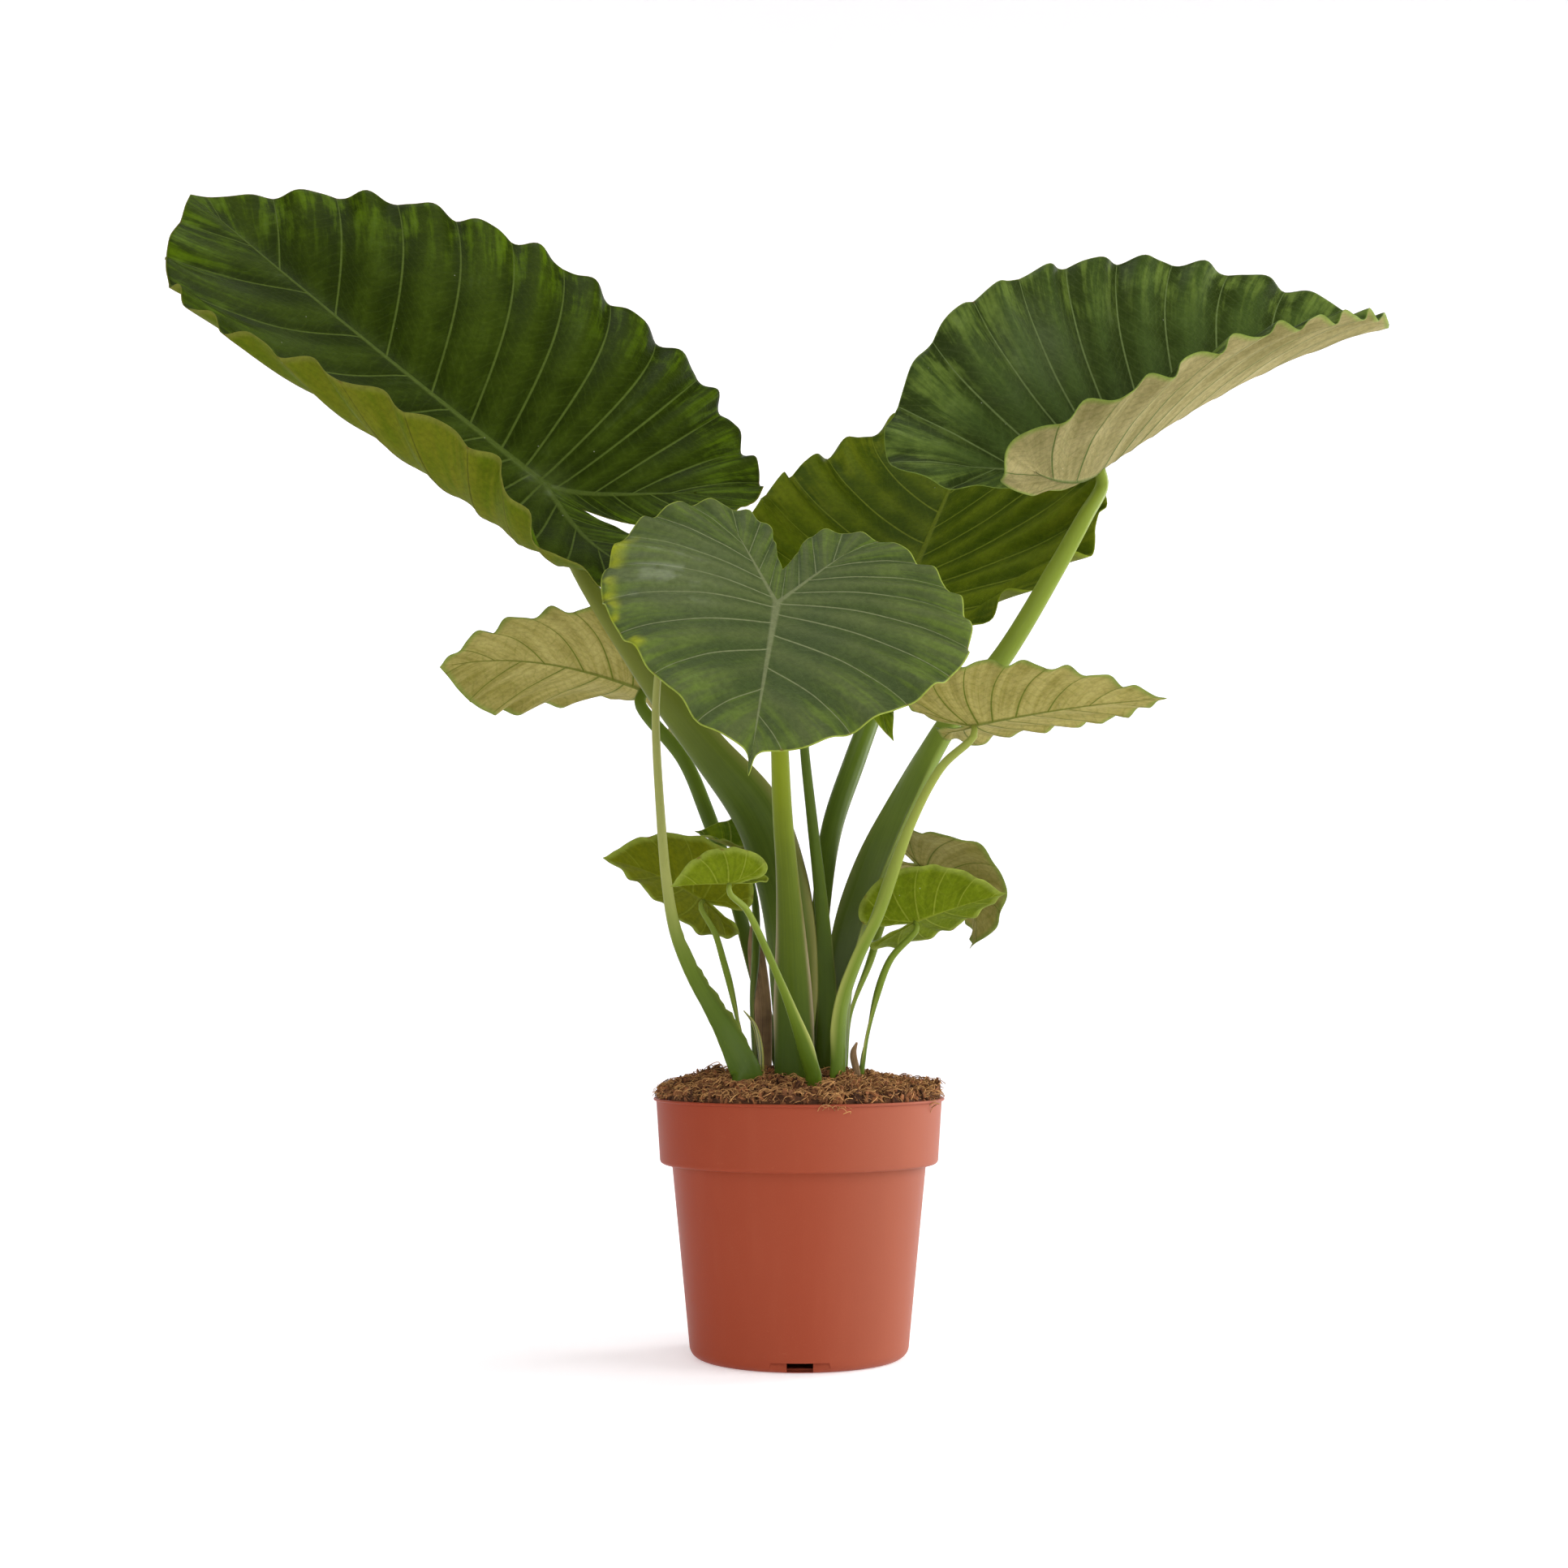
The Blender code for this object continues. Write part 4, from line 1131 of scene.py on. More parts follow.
@dataclass
class LeafStem:
    """A fleshy stem whose clasping base opens into a channel with thin wings.

    The route's marks are places with half widths. The channel faces a direction about Z, in degrees.
    """

    key: str
    route: tuple[Mark, ...]
    finish: StemFinish | PaperFinish
    facing: float = 90
    flat: float = 0.6
    channel: float = 0.45
    sheath: float = 0.55
    wing: float = 0.0
    ruffle: float = 0.0
    blade: LeafBlade | None = None
    name: str = ""

    def path(self) -> tuple[np.ndarray, np.ndarray, np.ndarray, float]:
        """Points with half widths and tangents from the soil to the blade.

        Returns:
            Points, tangents, shares of the length, and the length.
        """
        route = np.array(self.route, float) * MM
        marks = [(route[0][0], route[0][1], COLLAR, route[0][3])] + [tuple(r) for r in route[1:]]
        if self.blade is not None:
            width = route[-1][3] * END_TAPER
            up = self.blade.axes()[2]
            end = self.blade.stem_end(width)
            marks.append((*(end - up * NECK * route[-1][3]), (width + route[-1][3]) / 2))
            marks.append((*(end + up * GAP), width))
        line = smooth_line(marks, CURVE_PIECES)
        share = lengths(line[:, :3])
        count = max(FEWEST_STEPS, round(share[-1] / STEM_STEP))
        stops = np.linspace(0, share[-1], count + 1)
        points = np.stack([np.interp(stops, share, line[:, i]) for i in range(4)], 1)
        tangents = np.gradient(points[:, :3], axis=0)
        tangents[0] = (0, 0, 1)
        if self.blade is not None:
            tangents[-1] = self.blade.axes()[2]
        tangents /= np.linalg.norm(tangents, axis=1)[:, None]
        return points, tangents, stops / share[-1], share[-1]

    def section(self, width: float, share: float, length: float
                ) -> tuple[np.ndarray, np.ndarray, float]:
        """One cross-section.

        Args:
            width: Half width.
            share: Share of the stem's length.
            length: The stem's length.

        Returns:
            Points across and towards the open face, the wing share at each, and how open it is.
        """
        closed = float(ease(share, CHANNEL_SHARE * self.sheath, self.sheath))
        depth = width * (self.flat + (1 - self.flat) * closed)
        channel = float(np.interp(share, (0, FOOT_SHARE, FOOT_SHARE + CHANNEL_SHARE * self.sheath),
                                  (FOOT_CHANNEL, FOOT_CHANNEL, -self.channel)))
        face = depth * (channel * (1 - closed) + closed)
        half = STEM_SIDES // 2
        back = np.linspace(0, math.pi, half + 1)
        front = np.linspace(0, math.pi, half + 1)[1:-1]
        x = np.concatenate((width * np.cos(back), -width * np.cos(front)))
        y = np.concatenate((-depth * np.sin(back), face * np.sin(front)))
        corner = np.exp(-((1 - np.abs(x) / width) / WING_CORNER) ** 2)
        open_share = (1 - closed) * float(ease(share, *WING_START))
        quick, slow = (share * length * beat for beat in RUFFLE_BEATS)
        ruffle = 1 + self.ruffle * math.sin(quick) * math.sin(slow + 1)
        reach = self.wing * MM * corner * open_share * ruffle
        points = np.stack((x + np.sign(x) * reach * WING_FLARE, y + reach), 1)
        return points, corner * open_share, open_share

    def build(self) -> bpy.types.Object:
        """Make the stem as one closed tube.

        Returns:
            The stem's object.
        """
        points, tangents, shares, length = self.path()
        facing = math.radians(self.facing)
        way = np.array((math.cos(facing), math.sin(facing), 0.0))
        rings, wings, opens = [], [], []
        for point, tangent, share in zip(points, tangents, shares):
            way = way - tangent * (way @ tangent)
            way /= np.linalg.norm(way)
            across = np.cross(tangent, way)
            section, wing, opened = self.section(point[3], share, length)
            rings.append(point[:3] + section[:, :1] * across + section[:, 1:] * way)
            wings.append(wing)
            opens.append(opened)
        rings.insert(0, rings[0] * (1, 1, 0) + (0, 0, SEAT))
        wings.insert(0, wings[0])
        opens.insert(0, opens[0])
        size = len(rings[0])
        verts = np.vstack(rings)
        place = np.concatenate(((0.0,), shares * length + (COLLAR - SEAT)))
        faces = [tuple(range(size))[::-1], tuple(range(len(verts) - size, len(verts)))]
        rows = [(0.0, 0.0, 0.0, 0.0)] * size + [(0.0, length, 0.0, 0.0)] * size
        for face in band_faces(len(rings), size):
            faces.append(face)
            first = face[0] % size
            for vertex, turn in zip(face, (first, first + 1, first + 1, first)):
                row, col = divmod(vertex, size)
                # Corners inside the open channel carry the painted shade.
                inside = 1.0 if col > size // 2 else 0.0
                rows.append((turn / size, place[row], wings[row][col], inside * opens[row]))
        corners = dict(zip(("around", "along", "wing", "channel_shade"), np.array(rows).T))
        title = self.name + "_piece" if self.name else "stalk_" + self.key
        piece = new_piece(title, verts, faces, MATERIALS[self.finish.name], corners)
        face_outwards(piece)
        hand_over(piece, self.finish.slot, self.name or "stem_" + self.key)
        return piece


# Finishes of this plant

# A finish with a centre carries a painted sheen round it.
DARK_LEAF = LeafFinish(
    "dark_leaf", Slot.LEAF_DARK, upper=(0.027, 0.043, 0.007), upper_light=(0.050, 0.082, 0.016),
    glow=(0.150, 0.220, 0.036), vein=(0.120, 0.165, 0.050), under=(0.33, 0.285, 0.120),
    under_shade=(0.20, 0.175, 0.060), under_vein=(0.070, 0.105, 0.020), rim=(0.17, 0.24, 0.04),
    glow_amount=0.75, gloss=0.03, centre=(0.193, 0.077, 0.860))
LEFT_LEAF = LeafFinish(
    "left_leaf", Slot.LEAF_DARK, upper=(0.018, 0.030, 0.002), upper_light=(0.036, 0.058, 0.004),
    glow=(0.095, 0.165, 0.004), vein=(0.078, 0.114, 0.018), under=(0.085, 0.125, 0.004),
    under_shade=(0.145, 0.155, 0.010), under_vein=(0.075, 0.080, 0.008), rim=(0.17, 0.18, 0.03),
    glow_amount=0.80, gloss=0.015, shine=0.12, centre=(-0.217, -0.020, 0.733),
    sheen_tint=(0.070, 0.100, 0.020), sheen_reach=0.035)
GREY_LEAF = LeafFinish(
    "grey_leaf", Slot.LEAF_GREY, upper=(0.054, 0.080, 0.022), upper_light=(0.094, 0.122, 0.038),
    glow=(0.14, 0.22, 0.02), vein=(0.185, 0.210, 0.095), under=(0.32, 0.29, 0.10),
    under_shade=(0.22, 0.22, 0.07), under_vein=(0.16, 0.18, 0.05), rim=(0.34, 0.42, 0.06),
    glow_amount=0.50, shine=0.15, rough=0.5, spots=0.9, vein_width=0.0007, net=0.04,
    centre=(-0.100, -0.205, 0.625), sheen_tint=(0.150, 0.185, 0.070))
BACK_LEAF = LeafFinish(
    "back_leaf", Slot.LEAF_GREEN, upper=(0.045, 0.075, 0.002), upper_light=(0.115, 0.158, 0.006),
    glow=(0.170, 0.205, 0.010), vein=(0.150, 0.190, 0.016), under=(0.165, 0.190, 0.030),
    under_shade=(0.120, 0.145, 0.020), under_vein=(0.095, 0.130, 0.016), rim=(0.20, 0.26, 0.02),
    gloss=0.02, shine=0.06, rough=0.42)
PALE_LEAF = LeafFinish(
    "pale_leaf", Slot.LEAF_PALE, upper=(0.040, 0.070, 0.010), upper_light=(0.060, 0.095, 0.014),
    glow=(0.12, 0.18, 0.01), vein=(0.13, 0.17, 0.04), under=(0.42, 0.37, 0.115),
    under_shade=(0.24, 0.215, 0.045), under_vein=(0.120, 0.150, 0.018), rim=(0.20, 0.27, 0.05),
    gloss=0.03, vein_width=0.0007)
YOUNG_LEAF = LeafFinish(
    "young_leaf", Slot.LEAF_GREEN, upper=(0.066, 0.112, 0.006), upper_light=(0.120, 0.178, 0.008),
    glow=(0.19, 0.26, 0.008), vein=(0.17, 0.21, 0.04), under=(0.125, 0.140, 0.003),
    under_shade=(0.090, 0.108, 0.003), under_vein=(0.140, 0.165, 0.010), rim=(0.22, 0.28, 0.04),
    gloss=0.02)
LIGHT_LEAF = LeafFinish(
    "light_leaf", Slot.LEAF_GREEN, upper=(0.120, 0.165, 0.010), upper_light=(0.180, 0.230, 0.020),
    glow=(0.22, 0.29, 0.012), vein=(0.24, 0.28, 0.06), under=(0.155, 0.205, 0.008),
    under_shade=(0.105, 0.150, 0.004), under_vein=(0.200, 0.245, 0.022), rim=(0.25, 0.31, 0.05),
    gloss=0.02)
LEFT_STEM = StemFinish(
    "left_stem", Slot.STEM, light=(0.092, 0.138, 0.018), dark=(0.060, 0.094, 0.011),
    foot=(0.060, 0.100, 0.011), crown=(0.150, 0.170, 0.026), edge=(0.22, 0.20, 0.06))
RIGHT_STEM = StemFinish(
    "right_stem", Slot.STEM, light=(0.170, 0.245, 0.036), dark=(0.120, 0.185, 0.024),
    foot=(0.044, 0.066, 0.008), crown=(0.185, 0.245, 0.026), edge=(0.17, 0.20, 0.05),
    foot_top=0.400)
FRONT_STEM = StemFinish(
    "front_stem", Slot.STEM, light=(0.105, 0.145, 0.010), dark=(0.070, 0.100, 0.008),
    foot=(0.036, 0.066, 0.005), crown=(0.215, 0.270, 0.012), edge=(0.36, 0.26, 0.15),
    foot_top=0.400, crown_from=0.380, crown_full=0.500)
BACK_STEM = StemFinish(
    "back_stem", Slot.STEM, light=(0.080, 0.125, 0.012), dark=(0.056, 0.090, 0.009),
    foot=(0.050, 0.080, 0.008), crown=(0.100, 0.150, 0.014), edge=(0.17, 0.17, 0.05))
PALE_STEM = StemFinish(
    "pale_stem", Slot.STEM, light=(0.170, 0.235, 0.024), dark=(0.115, 0.170, 0.016),
    foot=(0.066, 0.118, 0.006), crown=(0.290, 0.335, 0.065), edge=(0.36, 0.38, 0.10),
    foot_top=0.330, crown_from=0.330, crown_full=0.460)
SHEATHED_STEM = StemFinish(
    "sheathed_stem", Slot.STEM, light=(0.150, 0.205, 0.024), dark=(0.100, 0.150, 0.012),
    foot=(0.046, 0.086, 0.005), crown=(0.320, 0.335, 0.100), edge=(0.150, 0.190, 0.030),
    foot_top=0.330, crown_from=0.320, crown_full=0.400)
STRIPED = StemFinish(
    "striped_skin", Slot.YOUNG_SHEATH, light=(0.10, 0.16, 0.012), dark=(0.07, 0.12, 0.010),
    foot=(0.08, 0.12, 0.012), crown=(0.10, 0.16, 0.012), edge=(0.52, 0.50, 0.12), stripes=0.85)
DRY = PaperFinish("dry_skin", Slot.DRY_SHEATH, pale=(0.36, 0.22, 0.09), brown=(0.13, 0.075, 0.035))
BED = EarthFinish("peat", Slot.SOIL, dark=(0.060, 0.024, 0.011), light=(0.30, 0.13, 0.05))
FIBRE = EarthFinish("coir_fibre", Slot.SOIL, dark=(0.12, 0.044, 0.017), light=(0.62, 0.33, 0.12),
                    scale=90.0)
CHIP = EarthFinish("bark_chip", Slot.SOIL, dark=(0.030, 0.012, 0.006), light=(0.30, 0.12, 0.045),
                   scale=120.0)
PLASTIC = PotFinish()
FINISHES = (DARK_LEAF, LEFT_LEAF, GREY_LEAF, BACK_LEAF, PALE_LEAF, YOUNG_LEAF, LIGHT_LEAF, LEFT_STEM,
            RIGHT_STEM, FRONT_STEM, BACK_STEM, PALE_STEM, SHEATHED_STEM, STRIPED, DRY, BED, FIBRE, CHIP,
            PLASTIC)
MATERIALS: dict[str, bpy.types.Material] = {}


# The plant's own sizes, as in its solids

BLADES = (
    LeafBlade("upper_left", at=(-217, -20, 733), turn=175, rise=39, roll=-31, length=448, left=200,
              right=230, lobe=166, finish=LEFT_LEAF, veins=9, lobe_veins=4, sinus=40, droop=6,
              sweep=-16, twist=-18, lobe_rise=-46, belly=0.77, cleft=0.45,
              fold_left=(-25, -41, -11), fold_right=(10, 51, 13), curl_left=(50, 129, 55),
              curl_right=(-14, -56, -5), wave=4.5, scallop=2.5, rib=5.0, rows=30),
    LeafBlade("upper_right", at=(263, 20, 759), turn=34, rise=33, roll=22, length=414, left=189,
              right=153, lobe=181, finish=DARK_LEAF, veins=8, lobe_veins=3, droop=12, sweep=-10,
              twist=9, lobe_rise=-29, belly=0.77, fold_left=(19, 54, 25), fold_right=(72, 54, 51),
              curl_left=(-14, -9, -19), curl_right=(-31, -8, -42), wave=4.5, scallop=2, rib=4.6,
              rows=30, pleat=1.8),
    LeafBlade("front", at=(-18, -200, 599), turn=-97, rise=-42, roll=-14, length=204, left=152,
              right=135, lobe=121, finish=GREY_LEAF, veins=5, lobe_veins=4, sinus=50, droop=11,
              sweep=1, twist=2, lobe_rise=3, belly=1.13, cleft=0.6, drip=1.0, fold_left=(10, 7, 5),
              fold_right=(9, 10, 21), curl_left=(-21, -11, 7), curl_right=(3, -20, -14), wave=3,
              scallop=1.5, rib=3.2, rows=28, pleat=1.5),
    LeafBlade("back", at=(103, 205, 677), turn=62, rise=51, roll=-7, length=421, left=172,
              right=213, lobe=119, finish=BACK_LEAF, veins=8, lobe_veins=3, sweep=-17, twist=-9,
              lobe_rise=-7, fold_left=(0, 27, -3), fold_right=(14, 5, 12), curl_left=(0, 39, -9),
              curl_right=(10, 3, 10), wave=6, scallop=2.0, rib=4.4, rows=28, pleat=1.6,
              pleat_right=3.2),
    LeafBlade("middle_left", at=(-142, 160, 581), turn=186, rise=19, roll=31, length=194, left=90,
              right=121, lobe=70, finish=PALE_LEAF, veins=6, lobe_veins=3, droop=39, sweep=-5,
              twist=7, belly=0.71, fold_left=(5, 3, -5), fold_right=(5, 23, -10),
              curl_left=(0, 6, -28), curl_right=(0, 29, -17), wave=4, scallop=1.5, thick=1.0,
              rib=2.6, rows=20),
    LeafBlade("middle_right", at=(142, -85, 519), turn=-24, rise=8, roll=-15, length=161, left=76,
              right=81, lobe=46, finish=PALE_LEAF, veins=6, lobe_veins=2, droop=8, sweep=3,
              twist=-4, lobe_rise=-32, belly=0.94, fold_left=(8, 14, 9), fold_right=(1, 8, 6),
              curl_left=(-21, 2, 0), curl_right=(-3, 9, -11), wave=2.5, scallop=1.0, thick=1.0,
              rib=2.4, rows=18),
    LeafBlade("hidden_left", at=(-115, -108, 587), turn=28, rise=12, roll=0, length=70, left=33,
              right=33, lobe=22, finish=YOUNG_LEAF, veins=4, lobe_veins=1, sinus=6, droop=23,
              fold_left=(20, 20, 20), fold_right=(20, 20, 20), wave=1.5, thick=0.8, pleat=0.8,
              rib=1.3, rows=12),
    LeafBlade("hidden_middle", at=(0, -70, 583), turn=-54, rise=-16, roll=14, length=144, left=35,
              right=57, lobe=40, finish=YOUNG_LEAF, veins=5, lobe_veins=2, sinus=6, droop=58,
              twist=5, fold_left=(20, 20, 30), fold_right=(20, 18, 33), wave=1.5, thick=0.8,
              pleat=0.8, rib=1.5, rows=14),
    LeafBlade("low_left", at=(-79, -35, 378), turn=174, rise=31, roll=39, length=93, left=59,
              right=49, lobe=38, finish=YOUNG_LEAF, veins=4, lobe_veins=2, sinus=8, droop=22,
              sweep=-7, twist=-3, belly=0.94, fold_left=(12, 12, 11), fold_right=(11, 7, 15),
              curl_left=(3, 3, -6), curl_right=(2, -7, 5), wave=1.5, thick=0.8, pleat=0.8, rib=1.5,
              rows=14),
    LeafBlade("young_left", at=(-55, -160, 386), turn=178, rise=0, roll=20, length=46, left=32,
              right=25, lobe=30, finish=LIGHT_LEAF, veins=3, lobe_veins=2, sinus=8, droop=9,
              fold_left=(48, 40, 31), fold_right=(45, 45, 30), curl_left=(4, -8, -1), wave=1,
              thick=0.8, pleat=0.5, rib=1.1, rows=12),
    LeafBlade("low_back", at=(-42, 40, 421), turn=158, rise=20, roll=-21, length=57, left=26,
              right=42, lobe=20, finish=YOUNG_LEAF, veins=3, lobe_veins=1, sinus=5, droop=-5,
              fold_left=(50, 42, 29), fold_right=(40, 42, 24), curl_left=(0, -11, -2), wave=1,
              thick=0.8, pleat=0.5, rib=1.2, rows=12),
    LeafBlade("low_right", at=(98, 0, 361), turn=-3, rise=20, roll=-33, length=81, left=49,
              right=50, lobe=43, finish=LIGHT_LEAF, veins=4, lobe_veins=2, sinus=6, droop=9,
              twist=-3, fold_left=(15, 14, 17), fold_right=(38, 32, 20), curl_left=(0, 0, -5),
              curl_right=(4, -6, -1), wave=1.5, thick=0.8, pleat=0.8, rib=1.4, rows=14),
    LeafBlade("behind_right", at=(110, 100, 414), turn=-9, rise=-21, roll=-26, length=105, left=46,
              right=80, lobe=29, finish=PALE_LEAF, veins=4, lobe_veins=1, sinus=6, droop=103,
              sweep=8, twist=-12, belly=0.94, fold_left=(7, 9, 5), fold_right=(5, 0, 26),
              curl_left=(2, 5, 0), curl_right=(0, -16, 20), wave=2, thick=0.8, pleat=0.8, rib=1.5,
              rows=14),
)

STEMS = (
    LeafStem("upper_left",
             route=((-4, 4, 230, 15), (-5, 4, 296, 21), (-8, 2, 351, 23), (-16, 0, 398, 24),
                    (-36, -2, 454, 24), (-76, -2, 506, 18), (-117, -4, 558, 14),
                    (-150, -4, 603, 10), (-180, -2, 648, 7.5), (-204, 2, 691, 6.5)),
             finish=LEFT_STEM, facing=60, flat=0.45, sheath=0.75, wing=3.0),
    LeafStem("upper_right",
             route=((31, 22, 230, 12), (36, 22, 317, 16), (46, 22, 365, 19), (64, 22, 414, 20),
                    (88, 22, 463, 17), (127, 22, 530, 11), (177, 22, 591, 9), (224, 24, 668, 8),
                    (251, 24, 716, 7)),
             finish=RIGHT_STEM, facing=215, flat=0.55, channel=0.6, sheath=0.65, wing=3.0),
    LeafStem("front",
             route=((-3.5, -34, 230, 17), (-5, -40, 296, 15), (-7, -52, 350, 11.5),
                    (-10, -70, 396, 9), (-14, -98, 447, 8), (-16, -128, 496, 7),
                    (-18, -155, 544, 6)),
             finish=FRONT_STEM, facing=90, flat=0.55, wing=3.0),
    LeafStem("back",
             route=((12, 36, 230, 8), (15, 46, 296, 7), (20, 68, 374, 8), (30, 97, 446, 9.5),
                    (51, 128, 509, 10), (74, 165, 570, 9)),
             finish=BACK_STEM, facing=-90, flat=0.8),
    LeafStem("middle_left",
             route=((-14, 36, 230, 7), (-32, 50, 296, 6), (-41, 60, 331, 6.5), (-57, 82, 389, 6.5),
                    (-83, 115, 464, 7), (-105, 138, 514, 6.5)),
             finish=BACK_STEM, facing=-60, flat=0.8),
    LeafStem("middle_right",
             route=((30, -30, 230, 13), (34, -34, 290, 10.5), (47, -38, 330, 8.5),
                    (65, -43, 367, 6.5), (93, -58, 442, 4), (117, -70, 486, 3.6)),
             finish=PALE_STEM, facing=160, flat=0.6, wing=2.0),
    LeafStem("hidden_left",
             route=((-42.5, -52, 230, 15), (-61, -58, 270, 10.5), (-73, -66, 291, 8),
                    (-87, -74, 316, 6.5), (-100, -84, 349, 5.3), (-107, -94, 388, 4.3),
                    (-112, -104, 446, 3.6), (-116, -108, 525, 3.2)),
             finish=SHEATHED_STEM, facing=-55, flat=0.3, sheath=0.45, wing=4.0, ruffle=0.5),
    LeafStem("hidden_middle",
             route=((20.5, 4, 230, 8), (24, 1, 290, 8.5), (22, -3, 335, 7), (18, -10, 385, 5.5),
                    (11, -28, 445, 4.5), (4, -55, 507, 3.8)),
             finish=BACK_STEM, facing=-90, flat=0.8),
    LeafStem("low_left",
             route=((-40.5, -26, 230, 4), (-49, -26, 275, 3.4), (-56, -27, 302, 3),
                    (-63, -29, 327, 2.8), (-70, -31, 350, 2.5)),
             finish=PALE_STEM, facing=0, flat=0.9),
    LeafStem("young_left",
             route=((11.5, -62, 230, 7.5), (3, -66, 260, 6.5), (-5, -74, 282, 4.6),
                    (-15, -88, 308, 3.4), (-28, -108, 338, 3), (-42, -134, 366, 2.7)),
             finish=PALE_STEM, facing=60, flat=0.6, wing=2.0),
    LeafStem("low_back",
             route=((-35, 16, 230, 4.5), (-38, 20, 293, 4.2), (-37, 28, 331, 3.6),
                    (-37, 36, 373, 3.2)),
             finish=BACK_STEM, facing=0, flat=0.9),
    LeafStem("low_right",
             route=((51, -12, 230, 4), (56, -10, 266, 3.4), (65, -8, 298, 3.2), (78, -4, 330, 2.9)),
             finish=PALE_STEM, facing=180, flat=0.9),
    LeafStem("behind_right",
             route=((38, 38, 230, 4.5), (43, 42, 283, 4), (62, 52, 328, 3.5), (76, 72, 367, 3.3),
                    (90, 88, 392, 3.2)),
             finish=PALE_STEM, facing=180, flat=0.9),
)

SHEATHS = (
    LeafStem("striped",
             route=((-31, -27, 230, 4), (-33, -28, 256, 6), (-38, -31, 275, 4.5),
                    (-46, -34, 286, 1.2)),
             finish=STRIPED, facing=200, flat=0.4, sheath=3.0, name="striped_sheath"),
    LeafStem("dry",
             route=((-30, 31, 230, 7), (-31, 34, 289, 7.5), (-37, 42, 338, 7), (-38, 46, 373, 1.5)),
             finish=DRY, facing=90, flat=0.35, sheath=3.0, name="dry_sheath"),
    LeafStem("scale",
             route=((48, -27, 230, 3), (45, -28, 251, 2.7), (48, -30, 260, 0.8)),
             finish=DRY, facing=90, flat=0.4, sheath=3.0, name="dry_scale"),
)


class Plant:
    """All the leaves, stems and sheaths."""

    def build(self) -> list[bpy.types.Object]:
        """Make every blade, stem and sheath.

        Returns:
            The plant's objects.
        """
        by_key = {blade.key: blade for blade in BLADES}
        made = [blade.build() for blade in BLADES]
        for stem in STEMS:
            stem.blade = by_key[stem.key]
        return made + [stem.build() for stem in STEMS + SHEATHS]


# Geometry node trees


class Shaper:
    """Builds one geometry node tree with named inputs."""

    def __init__(self, name: str) -> None:
        """Start a tree.

        Args:
            name: The tree's name.
        """
        self.tree = bpy.data.node_groups.new(name, "GeometryNodeTree")
        self.tree.interface.new_socket("Geometry", in_out="INPUT", socket_type="NodeSocketGeometry")
        self.tree.interface.new_socket("Geometry", in_out="OUTPUT", socket_type="NodeSocketGeometry")
        self.start = self.tree.nodes.new("NodeGroupInput")
        self.end = self.tree.nodes.new("NodeGroupOutput")
        self.sockets: dict[str, str] = {}

    def input(self, name: str, kind: str) -> bpy.types.NodeSocket:
        """Add a named input and return its socket inside the tree."""
        item = self.tree.interface.new_socket(name, in_out="INPUT", socket_type=kind)
        self.sockets[name] = item.identifier
        return self.start.outputs[name]

    def node(self, kind: str, settings: dict | None = None, inputs: dict | None = None
             ) -> bpy.types.Node:
        """Add a node, set it up and connect it."""
        made = self.tree.nodes.new(kind)
        for key, value in (settings or {}).items():
            setattr(made, key, value)
        for key, value in (inputs or {}).items():
            if isinstance(value, bpy.types.NodeSocket):
                self.tree.links.new(value, made.inputs[key])
            else:
                made.inputs[key].default_value = value
        return made

    def math(self, operation: str, first: "bpy.types.NodeSocket | float",
             second: "bpy.types.NodeSocket | float" = 0.0) -> bpy.types.NodeSocket:
        """Add a Math node and return its output."""
        return self.node("ShaderNodeMath", {"operation": operation}, {0: first, 1: second}).outputs[0]

    def apply(self, carrier: bpy.types.Object, values: dict[str, object], name: str) -> bpy.types.Object:
        """Run the tree on an object and keep the result as a plain mesh.

        Args:
            carrier: The object that the tree reads, which is removed.
            values: The tree's input values by name.
            name: The new object's name.

        Returns:
            The new object.
        """
        modifier = carrier.modifiers.new(name, "NODES")
        modifier.node_group = self.tree
        for key, value in values.items():
            modifier[self.sockets[key]] = value
        evaluated = carrier.evaluated_get(bpy.context.evaluated_depsgraph_get())
        mesh = bpy.data.meshes.new_from_object(evaluated)
        mesh.name = name
        bpy.data.objects.remove(carrier, do_unlink=True)
        return put(name, mesh)


# Loose bits of the soil

FULL_TURN = 6.283


